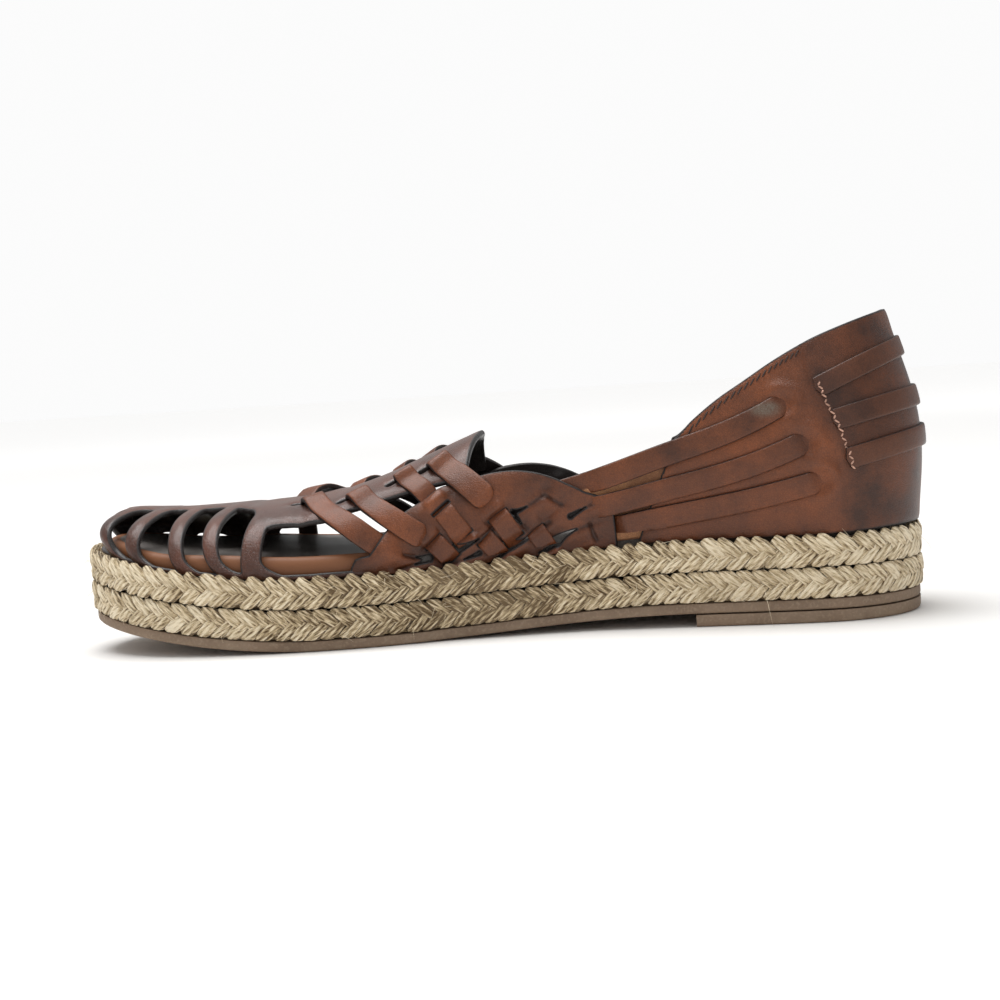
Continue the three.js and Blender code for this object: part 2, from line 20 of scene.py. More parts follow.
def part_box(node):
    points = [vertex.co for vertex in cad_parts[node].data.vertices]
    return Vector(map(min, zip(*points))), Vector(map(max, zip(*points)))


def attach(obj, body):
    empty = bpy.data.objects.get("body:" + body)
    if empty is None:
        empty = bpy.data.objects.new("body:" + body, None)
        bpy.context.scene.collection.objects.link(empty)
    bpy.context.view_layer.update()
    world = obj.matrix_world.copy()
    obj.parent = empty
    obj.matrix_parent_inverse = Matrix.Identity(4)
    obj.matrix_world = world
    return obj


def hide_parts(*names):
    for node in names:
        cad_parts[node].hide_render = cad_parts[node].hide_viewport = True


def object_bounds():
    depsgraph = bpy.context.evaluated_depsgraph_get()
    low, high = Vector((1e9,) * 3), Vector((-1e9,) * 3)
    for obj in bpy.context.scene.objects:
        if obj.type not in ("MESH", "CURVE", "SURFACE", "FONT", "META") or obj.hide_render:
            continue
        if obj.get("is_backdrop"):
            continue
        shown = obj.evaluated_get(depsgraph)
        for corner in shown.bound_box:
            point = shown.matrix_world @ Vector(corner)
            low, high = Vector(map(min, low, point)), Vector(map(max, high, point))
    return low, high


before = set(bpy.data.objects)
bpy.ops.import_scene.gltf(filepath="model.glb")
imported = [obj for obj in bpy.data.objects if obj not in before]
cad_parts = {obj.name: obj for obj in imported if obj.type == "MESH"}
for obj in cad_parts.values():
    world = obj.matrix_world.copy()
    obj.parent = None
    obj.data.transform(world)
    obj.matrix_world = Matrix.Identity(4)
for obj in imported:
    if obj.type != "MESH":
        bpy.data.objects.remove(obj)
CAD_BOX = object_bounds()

LOG = logging.getLogger("espadrille")
MM = 0.001
Array = np.ndarray
Numbers = tuple[float, ...]
Pair = tuple[float, float]
Pairs = tuple[Pair, ...]
Triple = tuple[float, float, float]
Profile = Callable[[Array], Array]
# Factors that bring s²(1 - s)² and s²(1 - s) to a greatest height of 1
FLANK_SCALE = 16.0
TOE_SCALE = 6.75
# Smallest height of a sheet over the foot of the upper, as a share of the way to the ridge
LOWEST_UP = 0.004
# Range of the random turn of a strand's plies, in radians
FULL_TURN = 6.28
# Size of a field, in mm, under which a grid point counts as outside, and field of an island left out
FIELD_ZERO = 1e-4
ISLAND_FIELD = -0.05
# Share of a grid edge that a cut keeps from both its ends
CUT_MARGIN = 0.05
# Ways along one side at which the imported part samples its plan
PLAN_WAYS = 33


def smooth(t: Array) -> Array:
    """Smooth step from 0 to 1: 3t² - 2t³ of t held between 0 and 1."""
    s = np.clip(t, 0.0, 1.0)
    return s * s * (3.0 - 2.0 * s)


class Span(NamedTuple):
    """Stretch over which something comes in: its start and its length, below 0 where it fades out."""

    start: float
    over: float

    def share(self, x: Array) -> Array:
        """Smooth share from 0 to 1 over the stretch."""
        return smooth((x - self.start) / self.over)


def hump(x: Array, half: float) -> Array:
    """Bell of height 1 round 0: e to the minus square of x over its half width."""
    return np.exp(-((x / half) ** 2))


def unit(v: Array) -> Array:
    """Vectors along the last axis, scaled to length 1."""
    return v / np.maximum(np.linalg.norm(v, axis=-1, keepdims=True), 1e-12)


def soft_max(a: Array, b: Array, fillet: float) -> Array:
    """Larger of two fields, with the corner between them rounded over the fillet's size.

    Args:
        a: First field, in mm.
        b: Second field, in mm.
        fillet: Reach of the rounding, in mm.

    Returns:
        max(a, b) plus a parabola that is highest where both fields are equal.
    """
    near = np.maximum(fillet - np.abs(a - b), 0.0) / fillet
    return np.maximum(a, b) + near * near * fillet / 4.0


@dataclass(frozen=True)
class Curve:
    """Smooth curve through the rows of a table that never overshoots between two rows."""

    xs: Numbers
    ys: Numbers

    def slopes(self) -> Array:
        """Slope at each row: the weighted harmonic mean of both neighbours' rates, or 0 at a turn."""
        run = np.diff(np.array(self.xs, float))
        rate = np.diff(np.array(self.ys, float)) / run
        before = 2 * run[1:] + run[:-1]
        after = run[1:] + 2 * run[:-1]
        keep = rate[:-1] * rate[1:] > 0
        left = np.where(keep, rate[:-1], 1.0)
        right = np.where(keep, rate[1:], 1.0)
        mean = (before + after) / (before / left + after / right)
        return np.concatenate([rate[:1], np.where(keep, mean, 0.0), rate[-1:]])

    def __call__(self, x: Array) -> Array:
        """Value of the cubic piece that each x falls in, held at both ends of the table."""
        xs = np.array(self.xs, float)
        ys = np.array(self.ys, float)
        slope = self.slopes()
        q = np.clip(x, xs[0], xs[-1])
        i = np.clip(np.searchsorted(xs, q) - 1, 0, len(xs) - 2)
        run = xs[i + 1] - xs[i]
        t = (q - xs[i]) / run
        u = 1.0 - t
        lead = ys[i] * (1 + 2 * t) * u * u + ys[i + 1] * (3 - 2 * t) * t * t
        return lead + run * (slope[i] * t * u * u - slope[i + 1] * t * t * u)


class Place(NamedTuple):
    """Place on the side of the last: station from the heel, height as a share of the way to the ridge."""

    x: float
    up: float


@dataclass(frozen=True)
class Last:
    """The last that the shoe is made on, with the sole under it."""

    length: float = 260.0
    heel_lift: float = 3.9
    sheet: float = 3.5
    jute: float = 18.6
    toe_spring: float = 10.5
    spring_power: float = 1.7
    ball_back: float = 165.0
    ball_front: float = 183.0
    breast: float = 70.0
    heel_cap: float = 32.0
    toe_cap: float = 68.0
    toe_power: float = 2.1
    bead: float = 1.5
    clear: float = 0.5
    feather_heel: float = 2.3
    feather_front: float = 5.0
    swell: float = 2.6
    swell_top: float = 60.0
    toe_swell: float = 4.0
    ridge_back: float = 45.0
    ridge_front: float = 246.0
    soft_back: float = 12.0
    soft_front: float = 7.0
    insole: float = 7.4
    insole_toe: float = 4.6
    bead_back: Span = Span(6, 30)
    bead_front: Span = Span(250, -24)
    insole_thins: Span = Span(205, 40)
    feather_grows: Span = Span(4, 50)
    toe_swells: Span = Span(228, 30)
    stations: Numbers = (0, 30, 70, 105, 140, 155, 170, 183, 195, 225, 245, 260)
    middles: Numbers = (0, 0, -2, -5, -5, -4, -2.5, -1.5, -0.8, 2, 4.5, 7)
    halves: Numbers = (31, 31, 30.5, 31.5, 36.8, 40.4, 43.2, 44.6, 45, 45, 45, 45)
    ridge_x: Numbers = (45, 75, 100, 120, 135, 143, 154, 163, 175, 188, 205, 218, 231, 240, 248)
    ridge_rise: Numbers = (
        108, 92, 68, 50, 38.2, 35.2, 31.2, 27.7, 24, 21.6, 19.3, 17.5, 15.3, 13.5, 12.2)
    ridge_power: Numbers = (
        2.2, 2.2, 2.2, 2.2, 2.2, 2.2, 2.3, 2.4, 2.5, 2.5, 2.5, 2.5, 2.4, 2.3, 2.2)

    def station(self, p: Array) -> Array:
        """Station of a way p round the outline, 0 at the back of the heel and 1 at the tip of the toe."""
        return self.length / 2 * (1 - np.cos(np.pi * np.asarray(p, float)))

    def way(self, x: Array) -> Array:
        """Way round the outline at a station."""
        return np.arccos(1 - 2 * np.clip(x, 0, self.length) / self.length) / np.pi

    def middle(self, x: Array) -> Array:
        """Middle line of the sole at a station."""
        return Curve(self.stations, self.middles)(x)

    def width(self, x: Array) -> Array:
        """Half width of the sole: the table's, times an elliptic heel end and a fuller toe end."""
        heel = np.clip(1 - x / self.heel_cap, 0, 1)
        toe = np.clip(1 - (self.length - x) / self.toe_cap, 0, 1)
        ends = np.sqrt(1 - heel**2) * (1 - toe**self.toe_power) ** (1 / self.toe_power)
        return Curve(self.stations, self.halves)(x) * ends

    def sheet_bottom(self, x: Array) -> Array:
        """Underside of the rubber sheet: heel height, flat spot under the ball, toe spring."""
        heel = self.heel_lift * smooth((self.ball_back - x) / (self.ball_back - self.breast))
        toe = np.clip((x - self.ball_front) / (self.length - self.ball_front), 0, 1)
        return heel + self.toe_spring * toe**self.spring_power

    def jute_bottom(self, x: Array) -> Array:
        """Underside of the jute, on top of the rubber sheet."""
        return self.sheet_bottom(x) + self.sheet

    def platform(self, x: Array) -> Array:
        """Top of the jute inside its bead, where the insole lies."""
        bead = self.bead * self.bead_back.share(x) * self.bead_front.share(x)
        return self.jute_bottom(x) + self.jute - bead

    def insole_thick(self, x: Array) -> Array:
        """Thickness of the insole, less under the toes."""
        return self.insole + (self.insole_toe - self.insole) * self.insole_thins.share(x)

    def feather(self, x: Array) -> Array:
        """Distance of the upper's foot from the edge of the sole."""
        return self.feather_heel + (self.feather_front - self.feather_heel) * self.feather_grows.share(x)

    def rim(self, p: Array, side: Array) -> Array:
        """Point in plan on the sole's outline; past either end it runs on along the other side."""
        x = self.station(p)
        turn = np.where((p < 0) | (p > 1), -side, side)
        return np.stack([x, self.middle(x) + turn * self.width(x)], axis=-1)

    def outline(self, p: Array, side: Array, inset: Array) -> Array:
        """Point in plan on the sole's outline, moved inwards along the outline's own normal.

        Args:
            p: Way round the outline.
            side: 1 for the inner side of the foot, -1 for the outer.
            inset: Distance moved inwards, in mm.

        Returns:
            Plan points, with x and y on the last axis.
        """
        step = 1e-4
        run = unit(self.rim(p + step, side) - self.rim(p - step, side))
        turned = np.stack([run[..., 1], -run[..., 0]], axis=-1)
        return self.rim(p, side) + (side * inset)[..., None] * turned

    def ridge_station(self, x: Array) -> Array:
        """Station on the ridge that a section leans to; it stops short of the heel and of the toe."""
        back = self.ridge_back + self.soft_back * np.log1p(np.exp((x - self.ridge_back) / self.soft_back))
        front = np.log1p(np.exp((self.ridge_front - back) / self.soft_front))
        return self.ridge_front - self.soft_front * front

    def point(self, p: Array, up: Array, side: Array = 1.0) -> Array:
        """Point on the inner face of the upper.

        A section runs from the foot on the outline to the ridge as a superellipse, with a low swell
        of the wall. Past the heel, the toe or the ridge the place runs on along the other side.

        Args:
            p: Way round the outline.
            up: Height as a share of the way up to the ridge.
            side: 1 for the inner side of the foot, -1 for the outer.

        Returns:
            Points in mm, with x, y and z on the last axis.
        """
        p, up, side = (np.array(a, float) for a in np.broadcast_arrays(p, up, side))
        side = np.where(p < 0, -side, side)
        p = np.abs(p)
        side = np.where(p > 1, -side, side)
        p = np.where(p > 1, 2 - p, p)
        side = np.where(up > 1, -side, side)
        up = np.clip(np.where(up > 1, 2 - up, up), 0, 1)
        x = self.station(p)
        foot = self.outline(p, side, self.feather(x))
        rx = self.ridge_station(x)
        ridge = np.stack([rx, self.middle(rx)], axis=-1)
        base = self.platform(np.clip(foot[..., 0], 0, self.length)) + self.clear
        top = self.platform(rx) + Curve(self.ridge_x, self.ridge_rise)(rx)
        power = 2 / Curve(self.ridge_x, self.ridge_power)(rx)
        angle = np.pi / 2 * up
        lean = 1 - np.maximum(np.cos(angle), 1e-9) ** power
        lift = np.sin(angle) ** power
        height = lift * (top - base)
        share = np.clip(height / self.swell_top, 0, 1)
        flank = self.swell * FLANK_SCALE * share**2 * (1 - share) ** 2 * (1 - lean)
        toe = self.toe_swell * self.toe_swells.share(x) * TOE_SCALE * lift**2 * (1 - lift)
        bulge = flank + toe
        away = foot - ridge
        plan = foot - away * lean[..., None] + unit(away) * bulge[..., None]
        return np.concatenate([plan, (base + height)[..., None]], axis=-1)

    def frame(self, p: Array, up: Array, side: Array = 1.0) -> tuple[Array, Array, Array]:
        """Both directions along the upper's face, in mm per unit of p and up, and its outward normal."""
        step = 2e-3
        p, up, side = (np.array(a, float) for a in np.broadcast_arrays(p, up, side))
        low = np.maximum(up - step, 0)
        along = (self.point(p + step, up, side) - self.point(p - step, up, side)) / (2 * step)
        rise = (self.point(p, up + step, side) - self.point(p, low, side)) / (up + step - low)[..., None]
        return along, rise, unit(np.cross(rise, along)) * side[..., None]

    def wall(self, p: Array, up: Array, side: Array, out: Array) -> Array:
        """Point on the upper's face, moved out along its normal."""
        normal = self.frame(p, up, side)[2]
        return self.point(p, up, side) + normal * np.asarray(out, float)[..., None]


@dataclass(frozen=True)
class Placement:
    """Shift from the last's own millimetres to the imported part's metres."""

    shift: Triple

    @classmethod
    def on_frame(cls, last: Last) -> "Placement":
        """Reads the shift off the lower jute course, which has the full plan of the sole."""
        low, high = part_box("jute_midsole_lower")
        p = np.linspace(0, 1, PLAN_WAYS)
        widest = last.outline(p, np.ones_like(p), np.zeros_like(p))[:, 1].max()
        return cls((low.x / MM, high.y / MM - float(widest), 0.0))

    def metres(self, points: Array) -> Array:
        """Points of the last in metres, in the frame of the part."""
        return (points + np.array(self.shift)) * MM


@dataclass
class Surface:
    """Triangles of one piece with values at its points."""

    points: Array
    triangles: Array
    values: dict[str, Array] = field(default_factory=dict)
    uv: Array | None = None

    @classmethod
    def joined(cls, parts: list["Surface"]) -> "Surface":
        """Several surfaces as one, their values kept."""
        starts = np.cumsum([0] + [len(part.points) for part in parts[:-1]])
        names = parts[0].values.keys()
        return cls(
            np.concatenate([part.points for part in parts]),
            np.concatenate([part.triangles + start for part, start in zip(parts, starts)]),
            {name: np.concatenate([part.values[name] for part in parts]) for name in names},
            None if parts[0].uv is None else np.concatenate([part.uv for part in parts]),
        )

    def welded(self, grain: float = 1e-3) -> "Surface":
        """The surface with points that share a place made one, and triangles without area left out."""
        key = np.round(self.points / grain).astype(np.int64)
        _, first, back = np.unique(key, axis=0, return_index=True, return_inverse=True)
        tri = back.reshape(-1)[self.triangles]
        whole = (tri[:, 0] != tri[:, 1]) & (tri[:, 1] != tri[:, 2]) & (tri[:, 2] != tri[:, 0])
        values = {name: value[first] for name, value in self.values.items()}
        return Surface(self.points[first], tri[whole], values, None if self.uv is None else self.uv[first])

    def to_object(self, name: str, placement: Placement, sharp_deg: float = 50.0) -> bpy.types.Object:
        """Writes the surface to a new mesh object at the origin, in metres, smooth shaded.

        Args:
            name: Name of the object and its mesh.
            placement: Shift to the part's frame.
            sharp_deg: Edges with a larger angle than this stay sharp.

        Returns:
            The linked object.
        """
        mesh = bpy.data.meshes.new(name)
        count = len(self.triangles)
        mesh.vertices.add(len(self.points))
        mesh.vertices.foreach_set("co", placement.metres(self.points).astype(np.float32).ravel())
        mesh.loops.add(3 * count)
        mesh.loops.foreach_set("vertex_index", self.triangles.astype(np.int32).ravel())
        mesh.polygons.add(count)
        mesh.polygons.foreach_set("loop_start", np.arange(0, 3 * count, 3, dtype=np.int32))
        mesh.update(calc_edges=True)
        if self.uv is not None:
            layer = mesh.uv_layers.new(name="UVMap")
            layer.data.foreach_set("uv", self.uv[self.triangles.ravel()].astype(np.float32).ravel())
        for label, value in self.values.items():
            attribute = mesh.attributes.new(label, "FLOAT", "POINT")
            attribute.data.foreach_set("value", value.astype(np.float32))
        mesh.validate()
        mesh.shade_smooth()
        mesh.set_sharp_from_angle(angle=math.radians(sharp_deg))
        made = bpy.data.objects.new(name, mesh)
        bpy.context.scene.collection.objects.link(made)
        return made


def grid_triangles(rows: int, columns: int, wrap: bool = False) -> Array:
    """Triangles over a grid of points, row after row.

    Args:
        rows: Points along the first parameter.
        columns: Points along the second parameter.
        wrap: Whether the last column runs on into the first.

    Returns:
        Triangles as rows of three point numbers.
    """
    i = np.arange(rows - 1)[:, None] * columns
    j = np.arange(columns if wrap else columns - 1)[None, :]
    k = (j + 1) % columns
    a, b, c, d = (x.ravel() for x in (i + j, i + k, i + columns + k, i + columns + j))
    return np.concatenate([np.stack([a, b, c], 1), np.stack([a, c, d], 1)])


def tubes(points: Array, flip: bool = False) -> Array:
    """Triangles of closed tubes: rings one after another, with a fan over each end.

    Args:
        points: Points by tube, ring and place round the ring.
        flip: Whether the triangles are turned round.

    Returns:
        Triangles as rows of three point numbers.
    """
    count, rings, around = points.shape[:3]
    fan = np.array([[0, j + 1, j] for j in range(1, around - 1)])
    walls = grid_triangles(rings, around, wrap=True)
    one = np.concatenate([walls, fan, fan[:, ::-1] + (rings - 1) * around])
    one = one[:, ::-1] if flip else one
    return (one[None] + rings * around * np.arange(count)[:, None, None]).reshape(-1, 3)


class Cut(NamedTuple):
    """Sheet cut out of a grid: points as shares between two grid points, triangles, edges of the rim."""

    first: Array
    second: Array
    share: Array
    triangles: Array
    rim: Array

    def read(self, grid: Array) -> Array:
        """Values of a grid at the sheet's points."""
        flat = grid.reshape(-1, *grid.shape[2:])
        share = self.share.reshape(-1, *([1] * (flat.ndim - 1)))
        return flat[self.first] * (1 - share) + flat[self.second] * share


def cut_sheet(level: Array) -> Cut:
    """Cuts a sheet out of a grid where a field is positive.

    Each cell is two triangles. A triangle that the field's zero line crosses is cut along the straight
    line between the two crossed sides, and that line becomes an edge of the rim.

    Args:
        level: Field over the grid, in mm, positive on the leather.

    Returns:
        The sheet, its rim edges running with the leather on their left.
    """
    rows, columns = level.shape
    flat = np.where(np.abs(level.ravel()) < FIELD_ZERO, -FIELD_ZERO, level.ravel())
    tri = grid_triangles(rows, columns)
    inside = flat[tri] > 0
    count = inside.sum(1)
    one, two = tri[count == 1], tri[count == 2]
    turn_one = np.argmax(inside[count == 1], axis=1)
    turn_two = np.argmin(inside[count == 2], axis=1)
    spin = np.arange(3)[None, :]
    one = np.take_along_axis(one, (turn_one[:, None] + spin) % 3, axis=1)
    two = np.take_along_axis(two, (turn_two[:, None] + spin) % 3, axis=1)
    pairs = np.concatenate([one[:, [0, 1]], one[:, [0, 2]], two[:, [0, 1]], two[:, [0, 2]]])
    crossed, back = np.unique(np.sort(pairs, axis=1), axis=0, return_inverse=True)
    kept = np.flatnonzero(flat > 0)
    number = np.full(flat.shape, -1)
    number[kept] = np.arange(len(kept))
    cuts = np.split(back.reshape(-1) + len(kept), np.cumsum([len(one), len(one), len(two)]))
    first = np.concatenate([kept, crossed[:, 0]])
    second = np.concatenate([kept, crossed[:, 1]])
    drop = flat[crossed[:, 0]] / (flat[crossed[:, 0]] - flat[crossed[:, 1]])
    share = np.concatenate([np.zeros(len(kept)), np.clip(drop, CUT_MARGIN, 1 - CUT_MARGIN)])
    triangles = np.concatenate([
        number[tri[count == 3]],
        np.stack([number[one[:, 0]], cuts[0], cuts[1]], 1),
        np.stack([cuts[2], number[two[:, 1]], number[two[:, 2]]], 1),
        np.stack([cuts[2], number[two[:, 2]], cuts[3]], 1),
    ])
    rim = np.concatenate([np.stack([cuts[0], cuts[1]], 1), np.stack([cuts[3], cuts[2]], 1)])
    return Cut(first, second, share, triangles, rim)


def one_body(level: Array) -> Array:
    """Field of a sheet without islands: the leather is grown from its deepest place until it stops."""
    inside = level > 0
    grown = level == level.max()
    wider = inside
    while not np.array_equal(wider, grown):
        wider, grown = grown, grown.copy()
        grown[1:] |= wider[:-1]
        grown[:-1] |= wider[1:]
        grown[:, 1:] |= wider[:, :-1]
        grown[:, :-1] |= wider[:, 1:]
        grown &= inside
    return np.where(inside & ~grown, ISLAND_FIELD, level)


@dataclass(frozen=True)
class Path:
    """Curve over the upper's face through three places, as a parabola in way and height."""

    start: Place
    middle: Place
    end: Place

    def places(self, last: Last, t: Array) -> tuple[Array, Array]:
        """Way and height at shares t of the curve."""
        p = [float(last.way(place.x)) for place in (self.start, self.middle, self.end)]
        up = [place.up for place in (self.start, self.middle, self.end)]
        return tuple(
            a + (4 * b - 3 * a - c) * t + (2 * a + 2 * c - 4 * b) * t * t for a, b, c in (p, up))


class Nearness(NamedTuple):
    """Distance of points from a curve, share along it, and distance to its left when seen from outside."""

    distance: Array
    share: Array
    left: Array


def near_path(last: Last, path: Path, side: float, points: Array, steps: int = 48) -> Nearness:
    """Measures points of the upper's face against a curve on it.

    Args:
        last: The last.
        path: The curve.
        side: Side of the shoe that the curve lies on.
        points: Points in mm, on any grid.
        steps: Straight pieces that stand for the curve.

    Returns:
        The nearest piece's distance, its share along the curve, and the signed distance across it.
    """
    p, up = path.places(last, np.linspace(0, 1, steps + 1))
    line = last.point(p, up, side)
    normal = last.frame(p, up, side)[2]
    flat = points.reshape(-1, 3)
    best = np.full(len(flat), np.inf)
    share = np.zeros(len(flat))
    left = np.zeros(len(flat))
    for i in range(steps):
        run = line[i + 1] - line[i]
        low = 0.0 if i else -np.inf
        high = 1.0 if i < steps - 1 else np.inf
        gap = flat - line[i]
        raw = gap @ run / (run @ run)
        t = np.clip(raw, 0, 1)
        off = np.linalg.norm(gap - t[:, None] * run, axis=1)
        across = gap @ unit(np.cross(normal[i], run))
        nearer = off < best
        best = np.where(nearer, off, best)
        share = np.where(nearer, (i + np.clip(raw, low, high)) / steps, share)
        left = np.where(nearer, across, left)
    shape = points.shape[:-1]
    return Nearness(best.reshape(shape), share.reshape(shape), left.reshape(shape))


@dataclass
class Hide:
    """Sheet of leather cut on the last, with a crowned face, a rounded dark rim and a dark back."""

    last: Last
    p: Array
    up: Array
    side: float
    inner: float
    outer: float
    crown: float = 0.3
    crown_reach: float = 0.8
    rim_bulge: float = 0.35
    rim_turns: Numbers = (0.16, 0.5, 0.84)
    paint: float = 0.85
    paint_reach: float = 0.3

    def __post_init__(self) -> None:
        """Works out the grid's points, their normals and the lengths of a unit of up and of way."""
        along, rise, self.normal = self.last.frame(self.p, self.up, self.side)
        self.points = self.last.point(self.p, self.up, self.side)
        self.tall = np.linalg.norm(rise, axis=-1)
        self.wide = np.linalg.norm(along, axis=-1)

    def surface(self, level: Array, relief: Array, values: dict[str, Array]) -> Surface:
        """Makes the closed sheet.

        The face lies at the outer offset plus the relief, less a crown that falls off towards the rim.
        The rim is a half round between face and back, pushed out sideways from the cut line.

        Args:
            level: Field over the grid, in mm, positive on the leather.
            relief: Height of the face over its plain offset, in mm.
            values: Further values over the grid, kept at the points.

        Returns:
            The sheet with the values named edge, 1 on rim and back, and the further ones.
        """
        cut = cut_sheet(level)
        base = cut.read(self.points)
        normal = unit(cut.read(self.normal))
        depth = np.maximum(cut.read(level), 0)
        lift = cut.read(relief)
        face = self.outer + lift - self.crown * np.exp(-depth / self.crown_reach)
        back = self.inner + np.minimum(lift, 0)
        count = len(base)
        ring = np.unique(cut.rim)
        seat = np.full(count, -1)
        seat[ring] = np.arange(len(ring))
        run = base[cut.rim[:, 1]] - base[cut.rim[:, 0]]
        out = np.zeros_like(base)
        outward = np.cross(run, normal[cut.rim[:, 0]])
        np.add.at(out, cut.rim[:, 0], outward)
        np.add.at(out, cut.rim[:, 1], outward)
        twin = np.unique(np.round(base[ring], 3), axis=0, return_inverse=True)[1].ravel()
        shared = np.zeros((len(ring), 3))
        np.add.at(shared, twin, out[ring])
        out = unit(shared[twin])
        layers = [base + normal * face[:, None]]
        for turn in self.rim_turns:
            bow = self.rim_bulge * math.sin(math.pi * turn)
            height = face[ring] + (back[ring] - face[ring]) * (0.5 - 0.5 * math.cos(math.pi * turn))
            layers.append(base[ring] + normal[ring] * height[:, None] + out * bow)
        layers.append(base + normal * back[:, None])
        starts = np.cumsum([0] + [len(layer) for layer in layers[:-1]])
        maps = [np.arange(count)] + [seat + start for start in starts[1:-1]] + [np.arange(count) + starts[-1]]
        triangles = [cut.triangles, cut.triangles[:, ::-1] + starts[-1]]
        a, b = cut.rim[:, 0], cut.rim[:, 1]
        for low, high in zip(maps[:-1], maps[1:]):
            triangles.append(np.stack([low[b], low[a], high[a]], 1))
            triangles.append(np.stack([low[b], high[a], high[b]], 1))
        turns = len(self.rim_turns)
        painted = self.paint * np.exp(-depth / self.paint_reach)
        edge = np.concatenate([painted, np.ones(turns * len(ring)), np.ones(count)])
        kept = {"edge": edge}
        for name, grid in values.items():
            value = cut.read(grid)
            kept[name] = np.concatenate([value] + turns * [value[ring]] + [value])
        return Surface(np.concatenate(layers), np.concatenate(triangles), kept)


@dataclass(frozen=True)
class Ribbon:
    """Strap of leather along a curve on the upper's face."""

    path: Path
    side: float
    width: float
    thick: float = 1.8
    steps: int = 56
    start_round: float = 2.6
    end_round: float = 2.6
    lowest: float = 0.03
    paint: float = 1.0
    corner: float = 2.6
    paint_depth: float = 0.3
    paint_power: float = 1.5
    back_depth: float = 0.9
    spread: Numbers = (-1, -0.985, -0.93, -0.8, -0.45, 0, 0.45, 0.8, 0.93, 0.985, 1, 0.97, 0, -0.97)
    depth: Numbers = (0.55, 0.28, 0.1, 0.03, 0.005, 0, 0.005, 0.03, 0.1, 0.28, 0.55, 1, 1, 1)

    def surface(self, last: Last, level: Profile, tone: float = 0.5) -> Surface:
        """Makes the closed strap.

        A section is a closed loop: a crowned face, two rounded dark edges and a flat back. It is carried
        along the curve, narrowed to an ellipse over the rounded ends, and laid along the last.

        Args:
            last: The last.
            level: Height of the strap's face over the last at each share of its length, in mm.
            tone: Value named tone, kept all over the strap.

        Returns:
            The strap, with the values named edge and tone.
        """
        t = np.linspace(0, 1, self.steps + 1)
        p, up = self.path.places(last, t)
        along, rise, normal = last.frame(p, up, self.side)
        step = 1e-3
        ahead = self.path.places(last, t + step)
        behind = self.path.places(last, t - step)
        forward = along * (ahead[0] - behind[0])[:, None] + rise * (ahead[1] - behind[1])[:, None]
        cross = unit(np.cross(forward, normal)) * self.side
        line = last.point(p, up, self.side)
        far = np.concatenate([[0], np.cumsum(np.linalg.norm(np.diff(line, axis=0), axis=1))])
        head = np.clip(1 - far / self.start_round, 0, 1) if self.start_round else 0 * far
        tail = np.clip(1 - (far[-1] - far) / self.end_round, 0, 1) if self.end_round else 0 * far
        corner = min(self.corner, self.width / 2)
        half = self.width / 2 - corner * (1 - np.sqrt(1 - np.maximum(head, tail) ** 2))
        depth = np.array(self.depth)
        offset = half[:, None] * np.array(self.spread)[None, :]
        aa, ar, rr = ((a * b).sum(-1) for a, b in ((along, along), (along, rise), (rise, rise)))
        ca, cr = (cross * along).sum(-1), (cross * rise).sum(-1)
        det = aa * rr - ar * ar
        q = p[:, None] + offset * ((ca * rr - cr * ar) / det)[:, None]
        v = np.maximum(up[:, None] + offset * ((cr * aa - ca * ar) / det)[:, None], self.lowest)
        high = level(t)[:, None] - self.thick * depth[None, :] * np.ones_like(offset)
        points = last.wall(q, v, self.side, high)
        edge = np.ones_like(offset) * np.clip(depth / self.paint_depth, 0, 1)[None, :] ** self.paint_power
        edge = edge * np.where(depth < self.back_depth, self.paint, 1.0)
        triangles = tubes(points[None], flip=self.side < 0)
        uv = np.stack(np.broadcast_arrays(far[:, None], offset), -1).reshape(-1, 2)
        values = {"edge": edge.ravel(), "tone": np.full(offset.size, tone)}
        return Surface(points.reshape(-1, 3), triangles, values, uv)


class Side(Enum):
    """Side of the shoe, with its sign along y."""

    INNER = 1.0
    OUTER = -1.0


def path_through(*numbers: float) -> Path:
    """A curve from the six numbers of its three places."""
    return Path(*(Place(*numbers[i:i + 2]) for i in (0, 2, 4)))


class Strip(NamedTuple):
    """Strip or slit: six numbers of its curve, width, how its ends lie, 1 on top and below 0 tucked."""

    places: Numbers
    width: float
    start: float = 0.0
    end: float = 0.0
    from_spine: bool = False
    tone: float = 0.0

    @property
    def path(self) -> Path:
        """Curve through the three places."""
        return path_through(*self.places)


class ToeStrap(NamedTuple):
    """Strap of the toe cage: six numbers of its curve from the top, width, spread of the foot to the heel."""

    places: Numbers
    width: float
    spread: float


STRIPS = (
    Strip((187.5, 0.81, 174.5, 0.42, 160.5, 0.14), 7.2, 1, -0.6, True, 0.62),
    Strip((172, 0.69, 160.3, 0.365, 148.8, 0.165), 7.2, 1, 1, True, 0.66),
    Strip((157, 0.69, 151, 0.515, 146, 0.39), 7.0, 1, -0.5, True, 0.62),
    Strip((147, 0.7, 138.5, 0.48, 129.8, 0.27), 8.4, 1, 1, True, 0.6),
    Strip((145.6, 0.37, 140.9, 0.225, 136.6, 0.1), 6.8, 1, 1, False, 0.52),
    Strip((147.4, 0.165, 143.9, 0.085, 140.4, 0.008), 6.2, 1, 1, False, 0.5),
    Strip((128.4, 0.22, 125, 0.13, 121.8, 0.05), 6.6, 1, 1, False, 0.54),
    Strip((132.6, 0.13, 129.2, 0.058, 126.4, 0.004), 6.2, 1, 1, False, 0.5),
    Strip((117.4, 0.1, 114.7, 0.05, 112.3, 0.004), 6.2, 1, 1, False, 0.5),
)


